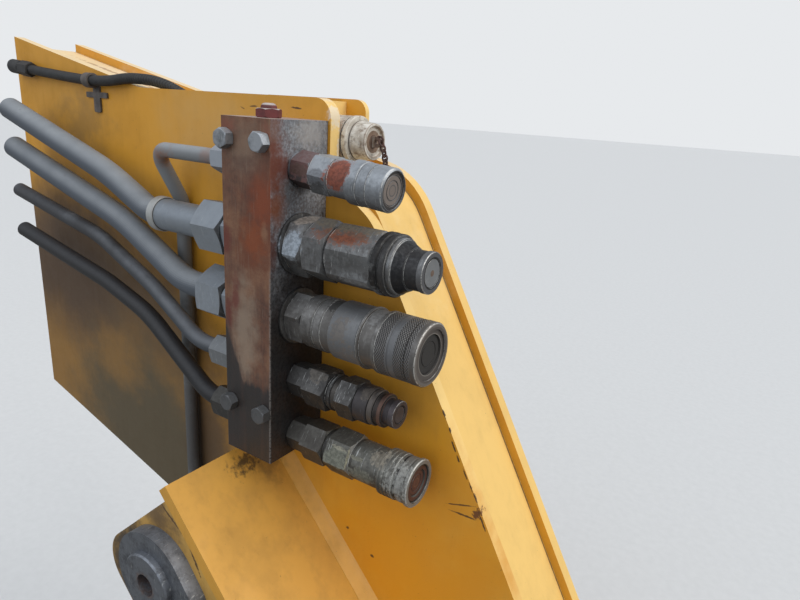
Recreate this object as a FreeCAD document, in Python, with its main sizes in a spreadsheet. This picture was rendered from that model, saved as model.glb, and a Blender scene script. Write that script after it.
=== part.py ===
import FreeCAD, Part
import math
import os

# Front end of a loader lift arm, with the coupler manifold on its ear.
# Lengths are in millimetres, +X is forward, +Y outward and +Z up.
# The pieces are laid out from the manifold's upper front corner and then
# moved so that the origin is the middle of the arm's open rear end.

os.makedirs("parts", exist_ok=True)
doc = FreeCAD.newDocument("lift_arm_front_end")
V = FreeCAD.Vector

sheet = doc.addObject("Spreadsheet::Sheet", "sizes")
filled_rows = []


def add_size(alias, number):
    """Write one named size, or one formula that starts with an equals sign."""
    filled_rows.append(alias)
    row = len(filled_rows)
    cell = "B%d" % row
    sheet.set("A%d" % row, alias)
    sheet.set(cell, str(number))
    sheet.setAlias(cell, alias)


def val(alias):
    """Give a named size as a plain number."""
    got = sheet.get(alias)
    return float(getattr(got, "Value", got))


SIZES = dict(
    # manifold block
    block_width=46,
    block_depth=57,
    block_height=248,
    block_edge_bevel=1.2,
    coupler_y="=block_depth / 2",
    port_depth=19,
    port_play=0.1,
    large_port_dia=26,
    small_port_dia=20,
    drain_port_dia=14,
    # bolts and plug of the block
    bolt_shank_dia=8,
    bolt_hole_dia="=bolt_shank_dia + 0.6",
    bolt_head_across=12,
    bolt_head_height=7,
    bolt_inset=6.4,
    bolt_top_drop=14.5,
    bolt_low_drop=207.5,
    plug_back=21,
    plug_y=20,
    plug_across=15.5,
    plug_height=6,
    button_dia=11,
    button_height=3.5,
    # plates of the arm
    plate_thick=10,
    inner_plate_y="=block_depth",
    arm_width=74,
    outer_plate_y="=inner_plate_y + arm_width - plate_thick",
    box_inner_y="=inner_plate_y + plate_thick",
    box_inner_width="=arm_width - 2 * plate_thick",
    wrap_thick=8,
    box_length=420,
    rear_x="=0 - box_length",
    top_z=57.9,
    top_slope_deg=11.75,
    trough_depth=8,
    front_offset=4.5,
    front_lean_deg=29.15,
    outer_lip=6.5,
    knee_radius=60,
    knee_blend_run=25,
    knee_blend_radius=40,
    leg_length=640,
    nose_radius=70,
    wrap_end_gap=10,
    low_wrap_gap=12,
    bottom_drop=384.9,
    bottom_z="=top_z - bottom_drop",
    bottom_slope_deg=15,
    inner_knee_x=0,
    inner_knee_radius=80,
    ear_top_z=15.2,
    ear_front_x=2,
    ear_meet_radius=60,
    ear_corner_radius=14,
    ear_root_radius=14,
    # lower pivot
    pivot_bore_dia=45,
    pivot_boss_dia=76,
    pivot_boss_stand=7,
    pivot_boss_y="=inner_plate_y - pivot_boss_stand",
    pivot_boss_length="=arm_width + 2 * pivot_boss_stand",
    # second ear and the receptacle between the ears
    backing_ear_y=103,
    backing_ear_thick=4.5,
    backing_ear_top_z=16.1,
    backing_ear_front_x=-2,
    backing_ear_radius=10,
    backing_ear_length=145,
    backing_ear_ramp=40,
    backing_ear_ramp_radius=12,
    connector_plate_x=-25,
    connector_plate_thick=4,
    connector_plate_height=40,
    connector_plate_drop=26,
    connector_y="=(box_inner_y + backing_ear_y) / 2",
    connector_z=-13,
    connector_ring_dia=35.4,
    connector_ring_length=4,
    connector_gap_dia=32.6,
    connector_gap_length=1.5,
    connector_shell_dia=34.6,
    connector_front_x=7,
    connector_bore_dia=27,
    connector_bore_depth=16,
    backshell_dia=21,
    backshell_length=36,
    cap_rear_dia=28.5,
    cap_front_dia=26,
    cap_length=13.5,
    cap_seat_gap=0.3,
    cap_rim_width=1.7,
    cap_dish_depth=1.6,
    cap_dish_slope=1.2,
    cap_spigot_length=12,
    cap_play=0.3,
    eye_dia=7.5,
    eye_hole_dia=3.2,
    eye_thick=2.6,
    cable_dia=9.2,
    cable_play=0.1,
    cable_entry_depth=12,
    cable_plug_dia="=cable_dia + 4.4",
    cable_plug_nut="=cable_dia + 3.6",
    cable_plug_length=34,
    clip_wall=1.7,
    clip_play=0.3,
    clip_length=9,
    clip_strip_thick=1.8,
    clip_strip_y="=inner_plate_y - clip_strip_thick",
    clip_strip_length=33,
    clip_strip_height=5,
    clip_strip_drop=10,
    clip_tab_width=10,
    clip_tab_rise=3,
    clip_tab_drop=28,
    # tilt cylinder housing
    housing_x=-50,
    housing_z=-259,
    housing_slope_deg=47.39,
    housing_length=230,
    housing_top_thick=10,
    housing_depth=128.5,
    housing_ear_y=-55.3,
    housing_ear_thick=12,
    housing_ear_inset=9,
    housing_corner_radius=30,
    housing_nose_drop=45,
    housing_nose_run=62,
    housing_nose_radius=20,
    housing_heel_radius=40,
    housing_width="=inner_plate_y - housing_ear_y",
    fillet_width=13,
    fillet_height=5,
    pin_along=53.8,
    pin_below=60.2,
    pin_dia=38,
    pin_play=0.05,
    pin_hole_dia="=pin_dia + 2 * pin_play",
    pin_hub_dia=50,
    pin_hub_stand=5,
    pin_hub_bevel=1.2,
    pin_centre_dia=18,
    pin_centre_depth=11,
    flag_radius=40,
    flag_thick=11.5,
    flag_y="=housing_ear_y - flag_thick",
    pin_length="=inner_plate_y + plate_thick - flag_y",
    flag_arm_width=34,
    flag_arm_length=104,
    flag_corner_radius=12,
    flag_bolt_inset=12,
    flag_bolt_along="=flag_arm_length - flag_bolt_inset",
    flag_bolt_dia=12,
    flag_bolt_play=0.1,
    flag_bolt_across=19,
    flag_bolt_head=7.5,
    # couplers
    drain_z=-31.6,
    drain_droop_deg=4.5,
    drain_seat=1.2,
    spot_face_depth=8,
    large_male_z=-84,
    large_female_z=-137,
    small_male_z=-186.6,
    small_female_z=-232.3,
    running_play=0.05,
    large_nose_dia=27,
    small_nose_dia=19.7,
    sleeve_travel=7,
    # valve faces and poppets
    drain_socket_dia="=small_nose_dia + 0.2",
    large_female_socket_dia="=large_nose_dia + 0.2",
    small_female_socket_dia="=small_nose_dia + 0.2",
    drain_face_inset=0.3,
    large_female_face_inset=1.2,
    small_female_face_inset=1,
    valve_length=8,
    valve_bevel=0.6,
    ring_groove=0.8,
    drain_valve_travel=7,
    large_female_valve_travel=10,
    small_female_valve_travel=8,
    poppet_length=10,
    poppet_inset=0.3,
    large_male_poppet_dia=19,
    small_male_poppet_dia=12.6,
    large_male_valve_travel=9,
    small_male_valve_travel=8,
    # steel lines
    tube_wall=1.6,
    tube_open_depth=20,
)

# Lengths in a row along X. A hex has its size across the flats, its turn in degrees
# and, where its corners are turned down, their diameter. A round length has its
# diameter, its far diameter where it tapers, and the bevel of its edges.
ADAPTERS = dict(
    drain=[dict(part="adapter", shape="hex", length=17, across=22, turn=0)],
    large_male=[dict(part="seat_ring", shape="round", length=2, across=44.5, bevel=0.4),
                dict(part="adapter", shape="hex", length=16, across=38, turn=-22)],
    large_female=[dict(part="seat_ring", shape="round", length=2, across=42, bevel=0.4),
                  dict(part="adapter", shape="hex", length=16, across=34, turn=14.5)],
    small_male=[dict(part="adapter", shape="hex", length=16, across=23, turn=24)],
    small_female=[dict(part="adapter", shape="hex", length=15, across=23, turn=24)],
)
BODIES = dict(
    drain=[dict(part="nut", shape="hex", length=16, across=24.5, turn=30),
           dict(part="guide", shape="round", length=33, across=25.4),
           dict(part="core", shape="round", length=10.7, across=24)],
    large_male=[dict(part="nut", shape="hex", length=18.6, across=38, turn=0),
                dict(part="neck_a", shape="round", length=1.4, across=36),
                dict(part="barrel", shape="hex", length=37, across=38, turn=5, corner=41.5),
                dict(part="ring_a", shape="round", length=5, across=41.6, bevel=0.7),
                dict(part="groove_a", shape="round", length=1.5, across=39),
                dict(part="ring_b", shape="round", length=4.5, across=41, bevel=0.7),
                dict(part="shoulder", shape="round", length=3, across=37, bevel=0.5),
                dict(part="taper", shape="round", length=7, across=35, far=28),
                dict(part="neck_b", shape="round", length=9, across=26),
                dict(part="flange", shape="round", length=4.4, across="=large_nose_dia",
                     bevel=0.5)],
    large_female=[dict(part="collar_a", shape="round", length=10, across=38.5, bevel=0.7),
                  dict(part="groove_a", shape="round", length=1.5, across=36.5),
                  dict(part="collar_b", shape="round", length=6.5, across=39, bevel=0.7),
                  dict(part="slot", shape="round", length=8, across=38),
                  dict(part="barrel", shape="round", length=24, across=41.5, bevel=0.8),
                  dict(part="stop_ring", shape="round", length=1.8, across=43.2, bevel=0.4),
                  dict(part="guide", shape="round", length=18.5, across=40.4),
                  dict(part="core", shape="round", length=24, across=34)],
    small_male=[dict(part="nut", shape="hex", length=21, across=28, turn=24),
                dict(part="neck_a", shape="round", length=2, across=25),
                dict(part="ring_a", shape="round", length=2.5, across=27, bevel=0.4),
                dict(part="neck_b", shape="round", length=4.5, across=25),
                dict(part="barrel", shape="hex", length=15.5, across=27, turn=24),
                dict(part="dark_neck", shape="round", length=11.5, across=27, bevel=0.6),
                dict(part="pale_ring", shape="round", length=4.5, across=25.5, bevel=0.6),
                dict(part="groove_a", shape="round", length=3.5, across=22),
                dict(part="copper_ring", shape="round", length=3, across=24, bevel=0.4),
                dict(part="neck_c", shape="round", length=4.5, across=18.9),
                dict(part="flange", shape="round", length=4.5, across="=small_nose_dia",
                     bevel=0.4)],
    small_female=[dict(part="nut", shape="hex", length=21, across=28, turn=24),
                  dict(part="neck", shape="round", length=3, across=26),
                  dict(part="barrel", shape="hex", length=22.5, across=29.5, turn=38),
                  dict(part="guide", shape="round", length=38.5, across=29.4),
                  dict(part="core", shape="round", length=10.8, across=27)],
)
# Sleeves stand a little in front of the coupler's core.
SLEEVE_LEADS = dict(drain=1, large_female=1.4, small_female=1.2)
SLEEVES = dict(
    drain=[dict(part="sleeve_rear", shape="round", length=8.5, across=29, bevel=0.4),
           dict(part="sleeve_waist", shape="round", length=7.5, across=28.2),
           dict(part="sleeve_front", shape="round", length=11.8, across=28.4),
           dict(part="sleeve_nose", shape="round", length=1.4, across=28.4, far=25.6)],
    large_female=[dict(part="sleeve_rear", shape="round", length=3, across=43, bevel=0.4),
                  dict(part="sleeve_grip_a", shape="round", length=9.5, across=42.6),
                  dict(part="sleeve_groove_a", shape="round", length=1.5, across=41.9),
                  dict(part="sleeve_grip_b", shape="round", length=9.5, across=42.6),
                  dict(part="sleeve_groove_b", shape="round", length=1.5, across=41.9),
                  dict(part="sleeve_front", shape="round", length=8.7, across=43, bevel=1.2)],
    small_female=[dict(part="sleeve_groove_a", shape="round", length=1.5, across=31.5),
                  dict(part="sleeve_step_a", shape="round", length=0.5, across=31.9),
                  dict(part="sleeve_band", shape="round", length=5, across=32.5, bevel=0.3),
                  dict(part="sleeve_step_b", shape="round", length=1.5, across=31.8),
                  dict(part="sleeve_front", shape="round", length=3.5, across=34.5, bevel=0.8)],
)
RIB_COUNT = 4
RIB_ROWS = [dict(part="sleeve_rib", shape="round", length=2, across=33.5, bevel=0.3),
            dict(part="sleeve_dip", shape="round", length=1.25, across=32.6)]
ribs = [dict(row, part="%s_%d" % (row["part"], k)) for k in range(RIB_COUNT) for row in RIB_ROWS]
SLEEVES["small_female"] = ribs + SLEEVES["small_female"]

# Steel lines: the lengths behind the block, the tube and the points it bends at.
LINES = dict(
    drain=dict(port="drain_port_dia", tube_dia=12, rows=[
        dict(part="line_hex", shape="hex", length=34, across=20, turn=0),
        dict(part="line_collar", shape="round", length=2, across=14)]),
    large_male=dict(port="large_port_dia", tube_dia=21, rows=[
        dict(part="line_hex", shape="hex", length=16, across=34, turn=12),
        dict(part="line_nut", shape="hex", length=30, across=38, turn=21),
        dict(part="line_sleeve", shape="round", length=55, across=26),
        dict(part="line_ring", shape="round", length=8, across=29, bevel=0.8)]),
    large_female=dict(port="large_port_dia", tube_dia=21, rows=[
        dict(part="line_hex", shape="hex", length=16.5, across=34, turn=12),
        dict(part="line_nut", shape="hex", length=28.5, across=38, turn=0),
        dict(part="line_ring", shape="round", length=5, across=29, bevel=0.8),
        dict(part="line_collar", shape="round", length=2, across=24)]),
    small_male=dict(port="small_port_dia", tube_dia=13.5, rows=[
        dict(part="line_hex", shape="hex", length=40, across=23, turn=12),
        dict(part="line_collar", shape="round", length=3, across=17)]),
    small_female=dict(port="small_port_dia", tube_dia=15, rows=[
        dict(part="line_hex", shape="hex", length=39, across=24, turn=12),
        dict(part="line_collar", shape="round", length=3, across=18)]),
)
TUBE_ROUTES = dict(
    large_male=dict(first_run=13, first_bend=50, points=[
        dict(x=-225, z=-58, bend=250), dict(x=-385, z=-12, bend=0)]),
    large_female=dict(first_run=28, first_bend=60, points=[
        dict(x=-206, z=-97.5, bend=200), dict(x=-385, z=-49, bend=0)]),
    small_male=dict(first_run=23, first_bend=45, points=[
        dict(x=-170, z=-151, bend=150), dict(x=-247, z=-117.7, bend=150),
        dict(x=-385, z=-92, bend=0)]),
    small_female=dict(first_run=13, first_bend=40, points=[
        dict(x=-180, z=-178.5, bend=120), dict(x=-240, z=-160.3, bend=150),
        dict(x=-385, z=-133, bend=0)]),
)
# The drain line turns down beside the block and runs along the plate.
DRAIN_ROUTE = dict(turn_x=-158, run_x=-153.2, run_y=49.6, turn_drop=44, low_z=-376,
                   first_bend=14, second_bend=25)
CABLE_ROUTE = [
    dict(x=-396, y=50.2, z=27.5),
    dict(x=-300, y=50.2, z=19.2),
    dict(x=-251, y=50.2, z=18.4),
    dict(x=-224, y=53.4, z=22.9),
    dict(x=-200.5, y=69.2, z=21.4),
    dict(x=-179, y=84.4, z=7.5),
    dict(x=-134.3, y=88, z=-3.8),
    dict(x=-90),
]
CABLE_LARGEST_BEND = 400
# The clip's place, as a share of the cable's second run.
CLIP_SHARE = 0.44


def add_rows(prefix, rows, start):
    """Write the sizes of a row of lengths, each starting where the last one ends."""
    for row in rows:
        key = "%s_%s" % (prefix, row["part"])
        add_size(key + "_start", "=" + start)
        add_size(key + "_length", row["length"])
        add_size(key + "_end", "=%s_start + %s_length" % (key, key))
        add_size(key + "_across", row["across"])
        start = key + "_end"
    return start


for alias, number in SIZES.items():
    add_size(alias, number)
for coupler in BODIES:
    add_rows(coupler, BODIES[coupler], add_rows(coupler, ADAPTERS[coupler], "0"))
for coupler, rows in SLEEVES.items():
    total = " - ".join(str(row["length"]) for row in rows)
    add_rows(coupler, rows, "%s_core_end + %s - %s" % (coupler, SLEEVE_LEADS[coupler], total))
for line, spec in LINES.items():
    add_rows(line, spec["rows"], "0")
    add_size(line + "_tube_dia", spec["tube_dia"])
doc.recompute()

ROW_SHIFT = V(-val("rear_x"),
              -(val("inner_plate_y") + val("arm_width") / 2),
              -(val("top_z") + val("bottom_z")) / 2)
nodes = []


def keep(obj, label, placement=None):
    """Name a finished piece and move it into the arm's own frame."""
    obj.Label = label
    base = placement if placement else FreeCAD.Placement()
    shift = FreeCAD.Placement(ROW_SHIFT, FreeCAD.Rotation())
    obj.Placement = shift.multiply(base).multiply(obj.Placement)
    nodes.append(obj)
    return obj


def bind(obj, prop, text):
    obj.setExpression(prop, text)


def ref(alias):
    return "sizes." + alias


ALONG_X = FreeCAD.Rotation(V(0, 1, 0), 90)
ALONG_Y = FreeCAD.Rotation(V(1, 0, 0), -90)
# A hexagon's corner distance over its size across the flats, and its end bevels.
HEX_CORNER = 0.5773503
BEVEL_FLAT = 0.485
BEVEL_RUN = 0.05


def rod(name, dia, length, start, rotation=ALONG_X):
    """Cylinder along X whose diameter, length and start are sheet expressions."""
    obj = doc.addObject("Part::Cylinder", name)
    obj.Placement = FreeCAD.Placement(V(0, 0, 0), rotation)
    bind(obj, "Radius", "(%s) / 2" % dia)
    bind(obj, "Height", length)
    if rotation is ALONG_X:
        bind(obj, ".Placement.Base.x", start)
    else:
        bind(obj, ".Placement.Base.y", start)
    return obj


def rod_y(name, dia, y_start, y_length, x, z):
    """Cylinder along Y at one station of the arm."""
    obj = rod(name, dia, y_length, y_start, ALONG_Y)
    place = obj.Placement
    place.Base = V(x, place.Base.y, z)
    obj.Placement = place
    return obj


def cone(name, radius_a, radius_b, length, start):
    obj = doc.addObject("Part::Cone", name)
    obj.Placement = FreeCAD.Placement(V(0, 0, 0), ALONG_X)
    bind(obj, "Radius1", radius_a)
    bind(obj, "Radius2", radius_b)
    bind(obj, "Height", length)
    bind(obj, ".Placement.Base.x", start)
    return obj


def hexagon(name, across, length, start, turn=0, corner=None):
    """Hexagonal bar along X with both ends bevelled at the corners."""
    bar = doc.addObject("Part::Prism", name + "_bar")
    bar.Polygon = 6
    bar.Placement = FreeCAD.Placement(
        V(0, 0, 0), FreeCAD.Rotation(V(1, 0, 0), turn).multiply(ALONG_X))
    bind(bar, "Circumradius", "(%s) * %s" % (across, HEX_CORNER))
    bind(bar, "Height", length)
    bind(bar, ".Placement.Base.x", start)
    wide = "%s / 2" % corner if corner else "(%s) * %s" % (across, HEX_CORNER)
    flat = "(%s) * %s" % (across, BEVEL_FLAT)
    bevel = "(%s) * %s" % (across, BEVEL_RUN)
    low = cone(name + "_low_bevel", flat, wide, bevel, start)
    mid = rod(name + "_mid", "2 * (%s)" % wide, "%s - 2 * (%s)" % (length, bevel),
              "%s + %s" % (start, bevel))
    high = cone(name + "_high_bevel", wide, flat, bevel,
                "%s + %s - %s" % (start, length, bevel))
    cut_bar = doc.addObject("Part::Common", name)
    cut_bar.Base = bar
    cut_bar.Tool = fuse(name + "_barrel", [low, mid, high])
    return cut_bar


def fuse(name, shapes):
    if len(shapes) == 1:
        return shapes[0]
    obj = doc.addObject("Part::MultiFuse", name)
    obj.Shapes = shapes
    obj.Refine = True
    return obj


def cut(name, base, tools):
    obj = doc.addObject("Part::Cut", name)
    obj.Base = base
    obj.Tool = fuse(name + "_tools", tools)
    return obj


def rounded(corners):
    """Turn corners (x, z, radius) into sketch lines and arcs."""
    count = len(corners)
    ends = []
    arcs = []
    for i in range(count):
        x, z, radius = corners[i]
        here = V(x, z, 0)
        before = V(corners[i - 1][0], corners[i - 1][1], 0)
        after = V(corners[(i + 1) % count][0], corners[(i + 1) % count][1], 0)
        if radius <= 0:
            ends.append((here, here))
            arcs.append(None)
            continue
        back = (before - here).normalize()
        ahead = (after - here).normalize()
        half = math.acos(max(-1, min(1, back.dot(ahead)))) / 2
        run = radius / math.tan(half)
        first = here + back * run
        last = here + ahead * run
        middle = here + (back + ahead).normalize() * (radius / math.sin(half) - radius)
        ends.append((first, last))
        arcs.append(Part.ArcOfCircle(first, middle, last))
    shapes = []
    for i in range(count):
        if arcs[i]:
            shapes.append(arcs[i])
        start = ends[i][1]
        stop = ends[(i + 1) % count][0]
        if start.distanceToPoint(stop) > 0.01:
            shapes.append(Part.LineSegment(start, stop))
    return shapes


def origin_plane(body, role):
    for feature in body.Origin.OriginFeatures:
        if feature.Role == role:
            return feature
    raise ValueError("no plane " + role)


def outline_sketch(body, name, plane, corners):
    """Sketch on one of the body's own planes, closed through the corners."""
    sketch = body.newObject("Sketcher::SketchObject", name)
    sketch.AttachmentSupport = [(origin_plane(body, plane), "")]
    sketch.MapMode = "FlatFace"
    for shape in rounded(corners):
        sketch.addGeometry(shape, False)
    return sketch


def plate(name, corners, y_alias, thick_alias, holes=()):
    """Flat plate: outline in XZ with round holes, padded towards +Y."""
    body = doc.addObject("PartDesign::Body", name + "_body")
    sketch = outline_sketch(body, name + "_outline", "XZ_Plane", corners)
    bind(sketch, ".AttachmentOffset.Base.z", "-" + ref(y_alias))
    for x, z, dia in holes:
        sketch.addGeometry(Part.Circle(V(x, z, 0), V(0, 0, 1), val(dia) / 2), False)
    doc.recompute()
    pad = body.newObject("PartDesign::Pad", name + "_pad")
    pad.Profile = sketch
    pad.Reversed = True
    bind(pad, "Length", ref(thick_alias))
    doc.recompute()
    return body


def turned(name, corners):
    """Body turned about X from corners (x, distance from the axis, radius)."""
    body = doc.addObject("PartDesign::Body", name + "_body")
    sketch = outline_sketch(body, name + "_profile", "XZ_Plane", corners)
    doc.recompute()
    turning = body.newObject("PartDesign::Revolution", name)
    turning.Profile = sketch
    turning.ReferenceAxis = (sketch, ["H_Axis"])
    turning.Angle = 360
    doc.recompute()
    return body


def stepped(prefix, rows, at=lambda x: x):
    """Profile corners over round lengths in a row, with their tapers and bevels."""
    corners = []
    for row in rows:
        key = "%s_%s" % (prefix, row["part"])
        start = val(key + "_start")
        end = val(key + "_end")
        near = val(key + "_across") / 2
        far = row["far"] / 2 if "far" in row else near
        bevel = row.get("bevel", 0)
        if bevel:
            corners.append((at(start), near - bevel, 0))
        corners.append((at(start + bevel), near, 0))
        corners.append((at(end - bevel), far, 0))
        if bevel:
            corners.append((at(end), far - bevel, 0))
    return corners


def solids_along(prefix, rows, behind=False):
    """Solids of a row of lengths: each hexagon singly, round lengths turned as one."""
    made = []
    waiting = []

    def at(x):
        return -val("block_width") - x if behind else x

    def close_round():
        if waiting:
            first = at(val("%s_%s_start" % (prefix, waiting[0]["part"])))
            last = at(val("%s_%s_end" % (prefix, waiting[-1]["part"])))
            corners = [(first, 0, 0)] + stepped(prefix, waiting, at) + [(last, 0, 0)]
            made.append(turned("%s_%s_turning" % (prefix, waiting[0]["part"]), corners))
            waiting.clear()

    for row in rows:
        if row["shape"] == "round":
            waiting.append(row)
            continue
        close_round()
        key = "%s_%s" % (prefix, row["part"])
        start = ref(key + "_start")
        if behind:
            start = "0 - %s - %s" % (ref("block_width"), ref(key + "_end"))
        corner = str(row["corner"]) if "corner" in row else None
        made.append(hexagon(key, ref(key + "_across"), ref(key + "_length"), start,
                            row["turn"], corner))
    close_round()
    return made


def disc(name, start, end, radius, bevel, groove_at=0.0):
    """Turned plunger with a bevelled front edge and, at groove_at, a ring groove."""
    half = val("ring_groove") / 2
    corners = [(start, 0, 0), (start, radius, 0), (end - bevel, radius, 0),
               (end, radius - bevel, 0)]
    if groove_at:
        corners += [(end, groove_at + half, 0), (end - half, groove_at + half, 0),
                    (end - half, groove_at - half, 0), (end, groove_at - half, 0)]
    corners.append((end, 0, 0))
    return turned(name, corners)


rear_x = val("rear_x")
lean = math.radians(val("front_lean_deg"))
run_x = math.sin(lean)
run_z = -math.cos(lean)
out_x = math.cos(lean)
out_z = math.sin(lean)
top_slope = math.tan(math.radians(val("top_slope_deg")))
bottom_slope = math.tan(math.radians(val("bottom_slope_deg")))


def top_line(x, drop=0.0):
    return val("top_z") - top_slope * (x - rear_x) - drop


def bottom_line(x):
    return val("bottom_z") - bottom_slope * (x - rear_x)


def knee_corner(drop, offset):
    """Where the top line and the front line of the arm would meet."""
    level = val("top_z") + top_slope * rear_x - drop
    x = (offset - out_z * level) / (out_x - out_z * top_slope)
    return x, level - top_slope * x


def along_front(corner, run):
    return corner[0] + run_x * run, corner[1] + run_z * run


knee = knee_corner(val("trough_depth"), val("front_offset"))
lip_knee = knee_corner(0.0, val("front_offset") + val("outer_lip"))
front_end = along_front(knee, val("leg_length"))
nose_x = front_end[0] - out_x * val("nose_radius")
nose_z = front_end[1] - out_z * val("nose_radius")
inner_knee = (val("inner_knee_x"), bottom_line(val("inner_knee_x")))


def nose_tangent(point, radius):
    """Where a line from a point touches the lower side of the round nose."""
    dx = nose_x - point[0]
    dz = nose_z - point[1]
    reach = math.hypot(dx, dz)
    turn = math.atan2(dz, dx) - math.asin(radius / reach)
    run = math.sqrt(reach * reach - radius * radius)
    return point[0] + run * math.cos(turn), point[1] + run * math.sin(turn)


# An arc drawn between tangent corners is a hair smaller than the full radius,
# so that neighbouring arcs never touch.
ARC_SHARE = 0.999


def nose_points(front, radius):
    """Corners of the lines around the nose, from its front to its lower side."""
    low = nose_tangent(inner_knee, radius)
    start = math.atan2(front[1] - nose_z, front[0] - nose_x)
    stop = math.atan2(low[1] - nose_z, low[0] - nose_x)
    if stop > start:
        stop -= 2 * math.pi
    step = (stop - start) / 2
    reach = radius / math.cos(step / 2)
    made = []
    for k in (0.5, 1.5):
        angle = start + step * k
        made.append((nose_x + reach * math.cos(angle),
                     nose_z + reach * math.sin(angle), radius * ARC_SHARE))
    return made


def inner_outline():
    ear_top = val("ear_top_z")
    meet_x = rear_x + (val("top_z") - ear_top) / top_slope
    front_x = val("ear_front_x")
    blend = along_front(knee, val("knee_blend_run"))
    points = [(rear_x, val("top_z"), 0),
              (meet_x, ear_top, val("ear_meet_radius")),
              (front_x, ear_top, val("ear_corner_radius")),
              (front_x, top_line(front_x, val("trough_depth")), val("ear_root_radius")),
              (blend[0], blend[1], val("knee_blend_radius"))]
    points += nose_points(front_end, val("nose_radius"))
    points.append((inner_knee[0], inner_knee[1], val("inner_knee_radius")))
    points.append((rear_x, val("bottom_z"), 0))
    return points


def outer_outline():
    reach = val("nose_radius") + val("outer_lip")
    lip_front = (nose_x + out_x * reach, nose_z + out_z * reach)
    points = [(rear_x, val("top_z"), 0),
              (lip_knee[0], lip_knee[1], val("knee_radius") + val("outer_lip"))]
    points += nose_points(lip_front, reach)
    points.append((inner_knee[0], inner_knee[1], val("inner_knee_radius")))
    points.append((rear_x, val("bottom_z"), 0))
    return points


def strip(outer, thickness):
    """Close an open line of corners into a bent strip, inward by thickness."""
    inner = []
    count = len(outer)
    for i in range(count):
        x, z, radius = outer[i]
        here = V(x, z, 0)
        normals = []
        for a, b in ((i - 1, i), (i, i + 1)):
            if a < 0 or b >= count:
                continue
            way = V(outer[b][0] - outer[a][0], outer[b][1] - outer[a][1], 0).normalize()
            normals.append(V(way.y, -way.x, 0))
        if len(normals) == 2:
            total = normals[0] + normals[1]
            step = total * (thickness * 2 / total.dot(total))
            turn = normals[0].cross(normals[1]).z
            change = -thickness if turn < 0 else thickness
            inner.append((here.x + step.x, here.y + step.y, radius + change))
        else:
            step = normals[0] * thickness
            if abs(here.x - rear_x) < 0.01:
                step = V(0, thickness / normals[0].y, 0)
            inner.append((here.x + step.x, here.y + step.y, 0))
    return [tuple(p) for p in outer] + inner[::-1]


housing_slope = math.radians(val("housing_slope_deg"))
HOUSING_RUN = V(math.cos(housing_slope), -math.sin(housing_slope), 0)
HOUSING_UP = V(-HOUSING_RUN.y, HOUSING_RUN.x, 0)


def on_housing(along, above):
    """Point at a distance along the housing's cover and above its top face."""
    at = V(val("housing_x"), val("housing_z"), 0) + HOUSING_RUN * along + HOUSING_UP * above
    return at.x, at.y


pin_x, pin_z = on_housing(val("pin_along"), -val("pin_below"))
bolt_x_front = -val("bolt_inset")
bolt_x_rear = -val("block_width") + val("bolt_inset")
bolt_spots = [(x, -val(drop)) for x in (bolt_x_rear, bolt_x_front)
              for drop in ("bolt_top_drop", "bolt_low_drop")]

# The arm's box: two side plates, and the bent plates that close it above and below.
inner_holes = [(x, z, "bolt_hole_dia") for x, z in bolt_spots]
inner_holes.append((pin_x, pin_z, "pin_hole_dia"))
inner_holes.append((nose_x, nose_z, "pivot_boss_dia"))
keep(plate("inner_plate", inner_outline(), "inner_plate_y", "plate_thick", inner_holes),
     "arm_inner_plate")
keep(plate("outer_plate", outer_outline(), "outer_plate_y", "plate_thick",
           [(nose_x, nose_z, "pivot_boss_dia")]), "arm_outer_plate")

wrap_end = along_front(knee, val("leg_length") - val("wrap_end_gap"))
top_wrap = strip([(rear_x, top_line(rear_x, val("trough_depth")), 0),
                  (knee[0], knee[1], val("knee_radius")),
                  (wrap_end[0], wrap_end[1], 0)], val("wrap_thick"))
keep(plate("top_wrap", top_wrap, "box_inner_y", "box_inner_width"), "arm_top_wrap")

low_end = nose_tangent(inner_knee, val("nose_radius"))
low_way = V(inner_knee[0] - low_end[0], inner_knee[1] - low_end[1], 0).normalize()
low_gap = val("low_wrap_gap")
low_wrap = strip([(low_end[0] + low_way.x * low_gap, low_end[1] + low_way.y * low_gap, 0),
                  (inner_knee[0], inner_knee[1], val("inner_knee_radius")),
                  (rear_x, val("bottom_z"), 0)], val("wrap_thick"))
keep(plate("bottom_wrap", low_wrap, "box_inner_y", "box_inner_width"), "arm_bottom_wrap")

# The backing ear stands on the wrap and follows its slope.
ear_front = val("backing_ear_front_x")
ear_back = ear_front - val("backing_ear_length")
ear_top = val("backing_ear_top_z")
backing = [(ear_back, top_line(ear_back, val("trough_depth")), 0),
           (ear_back + val("backing_ear_ramp"), ear_top, val("backing_ear_ramp_radius")),
           (ear_front, ear_top, val("backing_ear_radius")),
           (ear_front, top_line(ear_front, val("trough_depth")), 0)]
keep(plate("backing_ear", backing, "backing_ear_y", "backing_ear_thick"),
     "ear_backing_plate")

# Housing cover, square to its own run, with the weld fillet along the inner plate.
cover_run = val("housing_length")
cover_thick = val("housing_top_thick")
cover = [on_housing(0, 0) + (0,), on_housing(cover_run, 0) + (0,),
         on_housing(cover_run, -cover_thick) + (0,), on_housing(0, -cover_thick) + (0,)]
cover_plate = plate("housing_cover", cover, "housing_ear_y", "housing_width")
fillet = doc.addObject("Part::Wedge", "cover_fillet")
fillet_sizes = dict(Xmin="0", Xmax="housing_length", X2min="0", X2max="housing_length",
                    Ymin="0", Ymax="fillet_width",
                    Zmin="0 - housing_top_thick / 2", Zmax="fillet_height * 0.1",
                    Z2min="0 - housing_top_thick / 2", Z2max="fillet_height")
for prop, text in fillet_sizes.items():
    words = [ref(word) if word in SIZES else word for word in text.split()]
    bind(fillet, prop, " ".join(words))
fillet.Placement = FreeCAD.Placement(
    V(val("housing_x"), val("inner_plate_y") - val("fillet_width"), val("housing_z")),
    FreeCAD.Rotation(V(0, 1, 0), val("housing_slope_deg")))
keep(fuse("housing_cover_piece", [cover_plate, fillet]), "housing_cover_plate")

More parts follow.
